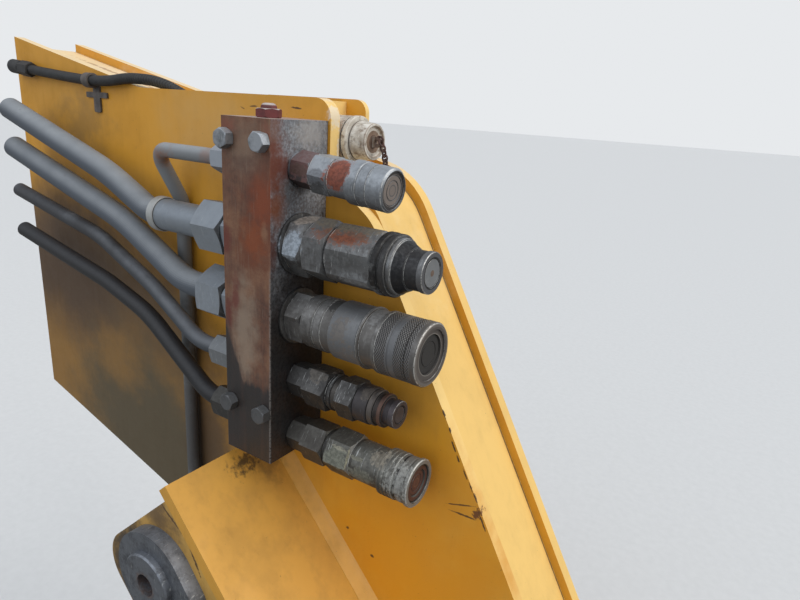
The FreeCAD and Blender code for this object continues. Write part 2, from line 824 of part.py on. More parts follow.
# Housing ear: it carries the outer end of the pin and the flag's bolt.
flag_centre = V(pin_x, pin_z, 0)
bolt_at = flag_centre + HOUSING_RUN * val("flag_bolt_along")
inset = val("housing_ear_inset")
depth = val("housing_depth")
ear_outline = [on_housing(inset, -cover_thick) + (0,),
               on_housing(cover_run, -cover_thick) + (0,),
               on_housing(cover_run, -cover_thick - val("housing_nose_drop"))
               + (val("housing_nose_radius"),),
               on_housing(cover_run - val("housing_nose_run"), -depth)
               + (val("housing_heel_radius"),),
               on_housing(inset, -depth) + (val("housing_corner_radius"),)]
keep(plate("housing_ear", ear_outline, "housing_ear_y", "housing_ear_thick",
           [(pin_x, pin_z, "pin_hole_dia"), (bolt_at.x, bolt_at.y, "flag_bolt_dia")]),
     "housing_ear_plate")

# Pivot pin: turned with a bevelled hub, an open centre and a plain shaft.
hub_bevel = val("pin_hub_bevel")
hub_radius = val("pin_hub_dia") / 2
shaft_radius = val("pin_dia") / 2
centre_radius = val("pin_centre_dia") / 2
hub = val("pin_hub_stand")
pin_end = hub + val("pin_length")
centre_end = val("pin_centre_depth")
pin_profile = [(0, centre_radius, 0), (0, hub_radius - hub_bevel, 0), (hub_bevel, hub_radius, 0),
               (hub, hub_radius, 0), (hub, shaft_radius, 0),
               (pin_end - hub_bevel, shaft_radius, 0), (pin_end, shaft_radius - hub_bevel, 0),
               (pin_end, 0, 0), (centre_end, 0, 0), (centre_end, centre_radius, 0)]
pin = turned("pin_turning", pin_profile)
pin.Placement = FreeCAD.Placement(V(pin_x, val("flag_y") - hub, pin_z),
                                  FreeCAD.Rotation(V(0, 0, 1), 90))
keep(pin, "tilt_pin")

# Flag that keeps the pin from turning: a round end, and an arm bolted to the ear.
half_arm = val("flag_arm_width") / 2
flag_radius = val("flag_radius")
arm_end = flag_centre + HOUSING_RUN * val("flag_arm_length")
angle_start = math.asin(half_arm / flag_radius)
FLAG_ARCS = 5
spread = (2 * math.pi - 2 * angle_start) / FLAG_ARCS
flag_outline = []
for sign in (1, -1):
    corner = arm_end + HOUSING_UP * (half_arm * sign)
    flag_outline.append((corner.x, corner.y, val("flag_corner_radius")))
for k in reversed(range(FLAG_ARCS)):
    angle = angle_start + spread * (k + 0.5)
    reach = flag_radius / math.cos(spread / 2)
    at = flag_centre + (HOUSING_RUN * math.cos(angle) + HOUSING_UP * math.sin(angle)) * reach
    flag_outline.append((at.x, at.y, flag_radius * 0.99))
keep(plate("pin_flag", flag_outline, "flag_y", "flag_thick",
           [(pin_x, pin_z, "pin_hole_dia"), (bolt_at.x, bolt_at.y, "flag_bolt_dia")]),
     "pin_flag")
flag_head = hexagon("flag_bolt_hex", ref("flag_bolt_across"), ref("flag_bolt_head"), "0")
flag_shank = rod("flag_bolt_shank",
                 "%s - 2 * %s" % (ref("flag_bolt_dia"), ref("flag_bolt_play")),
                 ref("flag_thick") + " + " + ref("housing_ear_thick"), ref("flag_bolt_head"))
flag_bolt = fuse("flag_bolt_piece", [flag_head, flag_shank])
flag_bolt.Placement = FreeCAD.Placement(
    V(bolt_at.x, val("flag_y") - val("flag_bolt_head"), bolt_at.y),
    FreeCAD.Rotation(V(0, 0, 1), 90))
keep(flag_bolt, "flag_bolt")

# Lower pivot boss.
boss = rod_y("pivot_boss_solid", ref("pivot_boss_dia"), ref("pivot_boss_y"),
             ref("pivot_boss_length"), nose_x, nose_z)
boss_bore = rod_y("pivot_boss_bore", ref("pivot_bore_dia"), ref("pivot_boss_y") + " - 1",
                  ref("pivot_boss_length") + " + 2", nose_x, nose_z)
keep(cut("pivot_boss_piece", boss, [boss_bore]), "lower_pivot_boss")

# Manifold block: padded from its top, then drilled from both faces.
block = doc.addObject("PartDesign::Body", "block_body")
width = val("block_width")
block_y = val("block_depth")
edge = val("block_edge_bevel")
block_sketch = outline_sketch(block, "block_outline", "XY_Plane", [
    (-width, 0, edge), (0, 0, edge), (0, block_y, edge), (-width, block_y, edge)])
doc.recompute()
block_pad = block.newObject("PartDesign::Pad", "block_pad")
block_pad.Profile = block_sketch
block_pad.Reversed = True
bind(block_pad, "Length", ref("block_height"))
doc.recompute()

coupler_place = {}
port_tools = []
for coupler in BODIES:
    port = LINES[coupler]["port"]
    droop = val("drain_droop_deg") if coupler == "drain" else 0.0
    at = V(0, val("coupler_y"), val(coupler + "_z"))
    level = FreeCAD.Placement(at, FreeCAD.Rotation())
    coupler_place[coupler] = FreeCAD.Placement(at, FreeCAD.Rotation(V(0, 1, 0), droop))
    pieces = [rod(coupler + "_port", ref(port), ref("port_depth") + " + 1",
                  "-" + ref("port_depth"))]
    if coupler == "drain":
        pieces.append(rod("drain_spot_face", ref("drain_adapter_across") + " * 1.2",
                          ref("spot_face_depth"), "-" + ref("drain_seat")))
    tool = fuse(coupler + "_port_tool", pieces)
    tool.Placement = coupler_place[coupler].multiply(tool.Placement)
    port_tools.append(tool)
    rear = rod(coupler + "_line_port", ref(port), ref("port_depth") + " + 1",
               "-" + ref("block_width") + " - 1")
    rear.Placement = level.multiply(rear.Placement)
    port_tools.append(rear)
for index, (x, z) in enumerate(bolt_spots):
    port_tools.append(rod_y("bolt_hole_%d" % index, ref("bolt_hole_dia"), "-1",
                            ref("block_depth") + " + 2", x, z))
doc.recompute()
keep(cut("manifold_piece", block, port_tools), "manifold_block")

# Bolts through the block into the plate.
BOLT_TURN = 20
bolts = []
for index, (x, z) in enumerate(bolt_spots):
    head = hexagon("bolt_head_%d" % index, ref("bolt_head_across"), ref("bolt_head_height"),
                   "0", BOLT_TURN * index)
    shank = rod("bolt_shank_%d" % index, ref("bolt_shank_dia"),
                ref("block_depth") + " + " + ref("plate_thick"), ref("bolt_head_height"))
    one = fuse("block_bolt_%d" % index, [head, shank])
    one.Placement = FreeCAD.Placement(V(x, -val("bolt_head_height"), z),
                                      FreeCAD.Rotation(V(0, 0, 1), 90))
    bolts.append(one)
keep(fuse("block_bolt_set", bolts), "block_bolts")

# Hexagonal plug in the block's top, with a domed button on it.
plug_top = val("plug_height")
button_radius = val("button_dia") / 2
button_top = plug_top + val("button_height")
plug_hex = hexagon("plug_hex", ref("plug_across"), ref("plug_height"), "0")
button = turned("plug_button", [
    (plug_top / 2, 0, 0), (plug_top / 2, button_radius, 0),
    (button_top, button_radius, val("button_height") * 0.95), (button_top, 0, 0)])
plug = fuse("plug_piece", [plug_hex, button])
plug.Placement = FreeCAD.Placement(V(-val("plug_back"), val("plug_y"), 0),
                                   FreeCAD.Rotation(V(0, 1, 0), -90))
keep(plug, "top_plug")

# Couplers. Each is built along X from the block's face.
for coupler in BODIES:
    place = coupler_place[coupler]
    port = LINES[coupler]["port"]
    parts = solids_along(coupler, ADAPTERS[coupler])
    parts.append(rod(coupler + "_stub", "%s - 2 * %s" % (ref(port), ref("port_play")),
                     ref("port_depth") + " - 1", "2 - " + ref("port_depth")))
    if coupler == "drain":
        parts.append(rod("drain_seat_disc", ref("drain_adapter_across"),
                         ref("drain_seat") + " + 1", "-" + ref("drain_seat")))
    keep(fuse(coupler + "_adapter_piece", parts), coupler + "_coupler_adapter", place)
    body_solid = fuse(coupler + "_coupler_solid", solids_along(coupler, BODIES[coupler]))
    travel = ref(coupler + "_valve_travel")
    if coupler in SLEEVES:
        core_end = ref(coupler + "_core_end")
        depth_text = "%s + %s + %s + 1" % (ref(coupler + "_face_inset"), ref("valve_length"),
                                           travel)
        socket = rod(coupler + "_socket", ref(coupler + "_socket_dia"),
                     "%s + 1" % depth_text, "%s - (%s)" % (core_end, depth_text))
        keep(cut(coupler + "_coupler_piece", body_solid, [socket]), coupler + "_coupler_body",
             place)
        radius = val(coupler + "_socket_dia") / 2 - val("running_play")
        face = val(coupler + "_core_end") - val(coupler + "_face_inset")
        keep(disc(coupler + "_valve_turning", face - val("valve_length"), face, radius,
                  val("valve_bevel"), radius * 0.62), coupler + "_coupler_valve", place)
        rows = SLEEVES[coupler]
        first = val("%s_%s_start" % (coupler, rows[0]["part"]))
        last = val("%s_%s_end" % (coupler, rows[-1]["part"]))
        wide_end = val(coupler + "_guide_end") + val("sleeve_travel") + 1
        wide = val(coupler + "_guide_across") / 2 + val("running_play")
        narrow = val(coupler + "_core_across") / 2 + val("running_play")
        profile = [(first, wide, 0)] + stepped(coupler, rows)
        profile += [(last, narrow, 0), (wide_end, narrow, 0), (wide_end, wide, 0)]
        keep(turned(coupler + "_sleeve_turning", profile), coupler + "_coupler_sleeve", place)
    else:
        tip = ref(coupler + "_flange_end")
        depth_text = "%s + %s + 1" % (ref("poppet_length"), travel)
        bore = rod(coupler + "_bore", ref(coupler + "_poppet_dia"), "%s + 1" % depth_text,
                   "%s - (%s)" % (tip, depth_text))
        keep(cut(coupler + "_coupler_piece", body_solid, [bore]), coupler + "_coupler_body",
             place)
        radius = val(coupler + "_poppet_dia") / 2 - val("running_play")
        face = val(coupler + "_flange_end") - val("poppet_inset")
        keep(disc(coupler + "_poppet_turning", face - val("poppet_length"), face, radius,
                  val("valve_bevel")), coupler + "_coupler_poppet", place)


def tangent_run(points, index, radius):
    """Distance from a corner at which an arc of this radius touches both runs."""
    back = (points[index - 1] - points[index]).normalize()
    ahead = (points[index + 1] - points[index]).normalize()
    half = math.acos(max(-1, min(1, back.dot(ahead)))) / 2
    return back, ahead, half, radius / math.tan(half)


def bent_path(points, radii):
    """Straight runs joined by tangent arcs at the inner points."""
    edges = []
    start = points[0]
    for i in range(1, len(points) - 1):
        radius = radii[i - 1]
        back, ahead, half, run = tangent_run(points, i, radius)
        first = points[i] + back * run
        last = points[i] + ahead * run
        bisector = (back + ahead).normalize()
        middle = points[i] + bisector * (radius / math.sin(half) - radius)
        edges.append(Part.LineSegment(start, first).toShape())
        edges.append(Part.Arc(first, middle, last).toShape())
        start = last
    edges.append(Part.LineSegment(start, points[-1]).toShape())
    return Part.Wire(edges)


def bar_along(path, dia):
    """Round bar along a bent path."""
    first = path.OrderedEdges[0]
    at = first.valueAt(first.FirstParameter)
    way = first.tangentAt(first.FirstParameter)
    ring = Part.Wire([Part.makeCircle(dia / 2, at, way)])
    return path.makePipeShell([ring], True, False)


# Lines behind the block: the fitting, and the tube bent back along the plate.
line_y = val("coupler_y")
for line, spec in LINES.items():
    port = spec["port"]
    z = val(line + "_z")
    parts = solids_along(line, spec["rows"], behind=True)
    parts.append(rod(line + "_line_stub", "%s - 2 * %s" % (ref(port), ref("port_play")),
                     ref("port_depth") + " - 1", "-" + ref("block_width") + " - 1"))
    keep(fuse(line + "_fitting_piece", parts), line + "_line_fitting",
         FreeCAD.Placement(V(0, line_y, z), FreeCAD.Rotation()))
    fitting_end = -width - val("%s_%s_end" % (line, spec["rows"][-1]["part"]))
    points = [V(fitting_end, line_y, z)]
    if line == "drain":
        route = DRAIN_ROUTE
        points += [V(route["turn_x"], line_y, z),
                   V(route["run_x"], route["run_y"], z - route["turn_drop"]),
                   V(route["run_x"], route["run_y"], route["low_z"])]
        radii = [route["first_bend"], route["second_bend"]]
    else:
        route = TUBE_ROUTES[line]
        points.append(V(fitting_end - route["first_run"], line_y, z))
        points += [V(stop["x"], line_y, stop["z"]) for stop in route["points"]]
        radii = [route["first_bend"]] + [stop["bend"] for stop in route["points"][:-1]]
    path = bent_path(points, radii)
    outside = val(line + "_tube_dia")
    opening = Part.makeCylinder(outside / 2 - val("tube_wall"), val("tube_open_depth") + 1,
                                points[-1] + (points[-1] - points[-2]).normalize(),
                                points[-2] - points[-1])
    piece = doc.addObject("Part::Feature", line + "_tube_piece")
    piece.Shape = bar_along(path, outside).cut(opening)
    keep(piece, line + "_line_tube")

# Electrical receptacle between the two ears, held by a small cross plate.
con = V(0, val("connector_y"), val("connector_z"))
con_place = FreeCAD.Placement(con, FreeCAD.Rotation())
cross = doc.addObject("Part::Box", "connector_plate_box")
bind(cross, "Length", ref("connector_plate_thick"))
bind(cross, "Width", ref("backing_ear_y") + " - " + ref("box_inner_y"))
bind(cross, "Height", ref("connector_plate_height"))
cross.Placement = FreeCAD.Placement(
    V(val("connector_plate_x"), val("box_inner_y"), -val("connector_plate_drop")),
    FreeCAD.Rotation())
cross_hole = rod("connector_plate_hole", ref("backshell_dia") + " + 0.4",
                 ref("connector_plate_thick") + " * 3",
                 "%s - %s" % (ref("connector_plate_x"), ref("connector_plate_thick")))
cross_hole.Placement = con_place.multiply(cross_hole.Placement)
keep(cut("connector_plate_piece", cross, [cross_hole]), "connector_plate")

shell_x = val("connector_plate_x") + val("connector_plate_thick")
shell_rear_x = shell_x - val("backshell_length")
shell_front_x = val("connector_front_x")
gap_front = shell_front_x - val("connector_ring_length")
gap_rear = gap_front - val("connector_gap_length")
bore_x = shell_front_x - val("connector_bore_depth")
entry_end = shell_rear_x + val("cable_entry_depth")
entry_radius = val("cable_dia") / 2 + val("cable_play")
shell_corners = [
    (shell_rear_x, entry_radius, 0), (shell_rear_x, val("backshell_dia") / 2, 0),
    (shell_x, val("backshell_dia") / 2, 0), (shell_x, val("connector_shell_dia") / 2, 0),
    (gap_rear, val("connector_shell_dia") / 2, 0), (gap_rear, val("connector_gap_dia") / 2, 0),
    (gap_front, val("connector_gap_dia") / 2, 0), (gap_front, val("connector_ring_dia") / 2, 0),
    (shell_front_x, val("connector_ring_dia") / 2, 0.6),
    (shell_front_x, val("connector_bore_dia") / 2, 0),
    (bore_x, val("connector_bore_dia") / 2, 0), (bore_x, 0, 0),
    (entry_end + 1, 0, 0), (entry_end + 1, entry_radius, 0)]
keep(turned("connector_shell_turning", shell_corners), "connector_shell", con_place)

# Cap: a tapered head with a dished face and an eye in its middle, and a spigot.
head_x = shell_front_x + val("cap_seat_gap")
face_x = head_x + val("cap_length")
rim = val("cap_rim_width")
rear_r = val("cap_rear_dia") / 2
front_r = val("cap_front_dia") / 2
dish_x = face_x - val("cap_dish_depth")
spigot_r = val("connector_bore_dia") / 2 - val("cap_play")
cap = turned("cap_turning", [
    (shell_front_x - val("cap_spigot_length"), 0, 0),
    (shell_front_x - val("cap_spigot_length"), spigot_r, 0), (head_x, spigot_r, 0),
    (head_x, rear_r, 0), (face_x, front_r, 0.5), (face_x, front_r - rim, 0.3),
    (dish_x, front_r - rim - val("cap_dish_slope"), 0), (dish_x, 0, 0)])
eye_centre = dish_x + val("eye_dia") / 2
eye = rod_y("cap_eye_disc", ref("eye_dia"), "0 - %s / 2" % ref("eye_thick"), ref("eye_thick"),
            eye_centre, 0)
eye_foot = doc.addObject("Part::Box", "cap_eye_foot")
bind(eye_foot, "Length", ref("eye_dia") + " / 2 + 1")
bind(eye_foot, "Width", ref("eye_thick"))
bind(eye_foot, "Height", ref("eye_dia"))
eye_foot.Placement = FreeCAD.Placement(
    V(dish_x - 1, -val("eye_thick") / 2, -val("eye_dia") / 2), FreeCAD.Rotation())
eye_hole = rod_y("cap_eye_hole", ref("eye_hole_dia"), "0 - " + ref("eye_thick"),
                 ref("eye_thick") + " * 2", eye_centre, 0)
keep(cut("connector_cap_piece", fuse("cap_solid", [cap, eye, eye_foot]), [eye_hole]),
     "connector_cap", con_place)

# Cable from its plug along the plate, over the plate's edge and into the receptacle's back.
cable_points = [V(stop["x"], stop.get("y", con.y), stop.get("z", con.z)) for stop in CABLE_ROUTE]
cable_points.append(V(entry_end, con.y, con.z))
cable_radii = []
for i in range(1, len(cable_points) - 1):
    shorter = min(cable_points[i].distanceToPoint(cable_points[i - 1]),
                  cable_points[i].distanceToPoint(cable_points[i + 1]))
    unit_run = tangent_run(cable_points, i, 1.0)[3]
    cable_radii.append(min(CABLE_LARGEST_BEND, 0.45 * shorter / unit_run))
print("cable bend radii", [round(r, 1) for r in cable_radii])
cable_path = bent_path(cable_points, cable_radii)
cable_solid = bar_along(cable_path, val("cable_dia"))
section = math.pi * (val("cable_dia") / 2) ** 2
print("cable length", round(cable_path.Length, 1), "volume", round(cable_solid.Volume),
      "section times length", round(section * cable_path.Length))
cable = doc.addObject("Part::Feature", "cable_piece")
cable.Shape = cable_solid
keep(cable, "cable")

# In-line plug on the cable's rear end, lying against the plate.
first_run = (cable_points[1] - cable_points[0]).normalize()
plug_place = FreeCAD.Placement(cable_points[0], FreeCAD.Rotation(V(1, 0, 0), first_run))
half_plug = ref("cable_plug_length") + " / 2"
plug_body = rod("cable_plug_body", ref("cable_plug_dia"), half_plug, "0 - " + half_plug)
plug_nut = hexagon("cable_plug_nut_hex", ref("cable_plug_nut"), half_plug, "0")
plug_bore = rod("cable_plug_bore", "%s + 2 * %s" % (ref("cable_dia"), ref("cable_play")),
                ref("cable_plug_length"), "0")
plug_solid = cut("cable_plug_piece", fuse("cable_plug_solid", [plug_body, plug_nut]), [plug_bore])
keep(plug_solid, "cable_plug", plug_place)

# Clip that holds the cable: a ring, a strip along the plate and a tab below it.
clip_way = cable_points[2] - cable_points[1]
clip_at = cable_points[1] + clip_way * CLIP_SHARE
clip_bore = "%s + 2 * %s" % (ref("cable_dia"), ref("clip_play"))
clip_ring = rod("clip_ring_outer", "%s + 2 * %s" % (clip_bore, ref("clip_wall")),
                ref("clip_length"), "0 - %s / 2" % ref("clip_length"))
clip_hole = rod("clip_ring_inner", clip_bore, ref("clip_length") + " * 2",
                "0 - " + ref("clip_length"))
ring_piece = cut("clip_ring", clip_ring, [clip_hole])
ring_piece.Placement = FreeCAD.Placement(clip_at, FreeCAD.Rotation(V(1, 0, 0), clip_way))
strip_high = clip_at.z - val("clip_strip_drop")
strip_low = strip_high - val("clip_strip_height")
strip_rear = clip_at.x - val("clip_strip_length") / 2
strip_front = clip_at.x + val("clip_strip_length") / 2
tab_rear = clip_at.x - val("clip_tab_width") / 2
tab_front = clip_at.x + val("clip_tab_width") / 2
tab_high = clip_at.z + val("clip_tab_rise")
tab_low = clip_at.z - val("clip_tab_drop")
bracket = [(tab_rear, tab_high, 0), (tab_front, tab_high, 0), (tab_front, strip_high, 0),
           (strip_front, strip_high, 1), (strip_front, strip_low, 1), (tab_front, strip_low, 0),
           (tab_front, tab_low, 2), (tab_rear, tab_low, 2), (tab_rear, strip_low, 0),
           (strip_rear, strip_low, 1), (strip_rear, strip_high, 1), (tab_rear, strip_high, 0)]
bracket_plate = plate("clip_bracket", bracket, "clip_strip_y", "clip_strip_thick")
keep(fuse("clip_piece", [ring_piece, bracket_plate]), "cable_clip")

doc.recompute()

BAD_STATES = ("Invalid", "Error")
for obj in doc.Objects:
    if any(state in BAD_STATES for state in obj.State):
        raise RuntimeError("%s is %s" % (obj.Label, obj.State))
whole = FreeCAD.BoundBox()
for obj in nodes:
    shape = obj.Shape
    if shape.isNull() or not shape.isValid():
        raise RuntimeError(obj.Label + " has no valid shape")
    if shape.Volume <= 0:
        raise RuntimeError(obj.Label + " has no volume")
    shape.exportStep("parts/%s.step" % obj.Label)
    box = shape.BoundBox
    whole.add(box)
    print("%-32s solids %d volume %10.0f  x %7.1f %7.1f  y %6.1f %6.1f  z %7.1f %7.1f" % (
        obj.Label, len(shape.Solids), shape.Volume, box.XMin, box.XMax, box.YMin, box.YMax,
        box.ZMin, box.ZMax))
print("pieces", len(nodes), "size %.1f %.1f %.1f" % (whole.XLength, whole.YLength, whole.ZLength))
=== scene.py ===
"""Looks of a loader lift arm's front end with its coupler manifold.

Lengths in the tables are millimetres from the manifold block's upper front
corner, as they were read from the object: x forward, y outward and z up.
"""
import logging
import math
from dataclasses import dataclass
from enum import Enum
from typing import Optional, Sequence, Union

import bmesh
import bpy
from mathutils import Matrix, Vector


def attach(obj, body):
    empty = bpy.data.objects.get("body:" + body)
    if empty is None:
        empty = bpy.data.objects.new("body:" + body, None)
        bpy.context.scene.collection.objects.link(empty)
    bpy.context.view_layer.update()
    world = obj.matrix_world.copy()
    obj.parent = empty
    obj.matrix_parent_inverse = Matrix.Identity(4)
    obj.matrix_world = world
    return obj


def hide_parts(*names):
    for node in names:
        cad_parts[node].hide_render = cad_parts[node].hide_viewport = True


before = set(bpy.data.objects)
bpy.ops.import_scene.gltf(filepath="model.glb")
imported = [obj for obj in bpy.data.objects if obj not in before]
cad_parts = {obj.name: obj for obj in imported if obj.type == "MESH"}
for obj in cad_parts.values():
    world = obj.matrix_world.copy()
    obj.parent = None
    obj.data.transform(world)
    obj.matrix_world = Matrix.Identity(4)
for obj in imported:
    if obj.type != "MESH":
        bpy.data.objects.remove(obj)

LOG = logging.getLogger("lift_arm")
Colour = tuple[float, float, float]
Point = tuple[float, float, float]
Number = Union[float, "Wire"]
Values = Union[Sequence, dict, None]

BLOCK_CORNER = Vector((420.0, -94.0, 134.55))
COUPLER_Y = 28.5

BLACK: Colour = (0.016, 0.015, 0.015)
SOOT: Colour = (0.040, 0.037, 0.035)
PALE: Colour = (0.55, 0.56, 0.55)
WORN_RIM_HIGHLIGHT: Colour = (0.74, 0.73, 0.70)
CHALK: Colour = (0.78, 0.74, 0.66)
RUST: Colour = (0.17, 0.050, 0.024)
CRACK: Colour = (0.05, 0.022, 0.012)


def place(x: float, y: float, z: float) -> Vector:
    """Turn a point measured from the block's corner into the arm's frame.

    Args:
        x: Distance forward in millimetres.
        y: Distance outward in millimetres.
        z: Height in millimetres.

    Returns:
        The point in metres.
    """
    return (Vector((x, y, z)) + BLOCK_CORNER) / 1000.0


class Side(Enum):
    """Which way a face looks, as the letter and sign of a normal."""

    CAMERA = ("Y", -1.0)
    AWAY = ("Y", 1.0)
    FORWARD = ("X", 1.0)
    UP = ("Z", 1.0)


@dataclass(frozen=True)
class Mark:
    """A soft patch on a surface.

    Args:
        centre: Middle, from the block's corner.
        radii: Half sizes along the turned axes.
        tone: Colour of the patch.
        weight: Strength of the patch.
        grain: Size of the noise that frays the rim.
        soft: Width of the rim as a share of the patch.
        turn: Turn about the y axis in degrees, nose down positive.
        ragged: How far noise moves the rim.
    """

    centre: Point
    radii: Point
    tone: Colour
    weight: float = 0.8
    grain: float = 9.0
    soft: float = 0.9
    turn: float = 0.0
    ragged: float = 0.35


@dataclass(frozen=True)
class Band:
    """A stretch with a tone of its own, along an axis or outward from it."""

    low: float
    high: float
    tone: Colour
    weight: float = 0.9


@dataclass(frozen=True)
class Patch:
    """A stain on the flank of a turned piece.

    Args:
        along: Place along the axis.
        lift: Place round the axis in degrees, 0 toward the camera and 90 up.
        reach: Half length along the axis.
        spread: Half width round the axis in degrees.
        tone: Colour of the stain.
        weight: Strength of the stain.
        ragged: How far noise moves the rim.
    """

    along: float
    lift: float
    reach: float
    spread: float
    tone: Colour
    weight: float = 0.9
    ragged: float = 0.9


def table(kind: type, *rows: tuple) -> tuple:
    """Make one record of a kind from each row."""
    return tuple(kind(*row) for row in rows)


def marks(side: Side, at: float, depth: float, *rows: tuple) -> tuple[Mark, ...]:
    """Make marks that lie on one upright face.

    Args:
        side: The way in which the face looks, FORWARD or CAMERA.
        at: Place of the face on the axis that it looks along.
        depth: How far the marks reach before and behind it.
        rows: Place within the face, sideways and up, half sizes the same way, and
            then a mark's tone and further values in order.

    Returns:
        The marks.
    """
    made = []
    for across, up, wide, high, *rest in rows:
        centre, radii = (across, at, up), (wide, depth, high)
        if side is Side.FORWARD:
            centre, radii = (at, across, up), (depth, wide, high)
        made.append(Mark(centre, radii, *rest))
    return tuple(made)


def stand(name: str, data: bpy.types.ID) -> bpy.types.Object:
    """Put data into the scene as an object.

    Args:
        name: Name of the object.
        data: Its mesh, curve, camera or lamp.

    Returns:
        The object, at the origin.
    """
    obj = bpy.data.objects.new(name, data)
    bpy.context.scene.collection.objects.link(obj)
    LOG.info("made %s", name)
    return obj


class Wire:
    """One shader value that can be used in a sum.

    Args:
        graph: The graph that owns the value.
        socket: The output socket that carries it.
    """

    def __init__(self, graph: "Graph", socket: bpy.types.NodeSocket) -> None:
        """Keep the value's graph and socket."""
        self.graph = graph
        self.socket = socket

    def _math(self, operation: str, *others: Number) -> "Wire":
        """Add a Math node with this value first."""
        node = self.graph.node("ShaderNodeMath", {"operation": operation}, [self, *others])
        return Wire(self.graph, node.outputs[0])

    def __add__(self, other: Number) -> "Wire":
        """Sum."""
        return self._math("ADD", other)

    __radd__ = __add__

    def __sub__(self, other: Number) -> "Wire":
        """Difference."""
        return self._math("SUBTRACT", other)

    def __rsub__(self, other: float) -> "Wire":
        """Difference from a plain number."""
        node = self.graph.node("ShaderNodeMath", {"operation": "SUBTRACT"}, [other, self])
        return Wire(self.graph, node.outputs[0])

    def __mul__(self, other: Number) -> "Wire":
        """Product."""
        return self._math("MULTIPLY", other)

    __rmul__ = __mul__

    def __truediv__(self, other: Number) -> "Wire":
        """Quotient."""
        return self._math("DIVIDE", other)

    def __or__(self, other: Number) -> "Wire":
        """The larger of two masks."""
        return self._math("MAXIMUM", other)

    def power(self, exponent: float) -> "Wire":
        """Raise to a power."""
        return self._math("POWER", exponent)

    def sine(self) -> "Wire":
        """Sine of an angle in radians."""
        return self._math("SINE")

    def over(self, other: Number) -> "Wire":
        """Angle in radians whose tangent is this value over another."""
        return self._math("ARCTAN2", other)

    def above(self, edge: float, soft: float) -> "Wire":
        """Give a mask that is one above an edge and fades over soft.

        Args:
            edge: The value at the middle of the fade.
            soft: The width of the fade.

        Returns:
            A mask from 0 to 1.
        """
        node = self.graph.node("ShaderNodeMapRange", {"interpolation_type": "SMOOTHSTEP"},
                               [self, edge - soft / 2, edge + soft / 2, 0.0, 1.0])
        return Wire(self.graph, node.outputs[0])

    def below(self, edge: float, soft: float) -> "Wire":
        """Give a mask that is one below an edge and fades over soft."""
        return 1.0 - self.above(edge, soft)

    def within(self, low: float, high: float, soft: float) -> "Wire":
        """Give a mask that is one between two edges."""
        return self.above(low, soft) * self.below(high, soft)


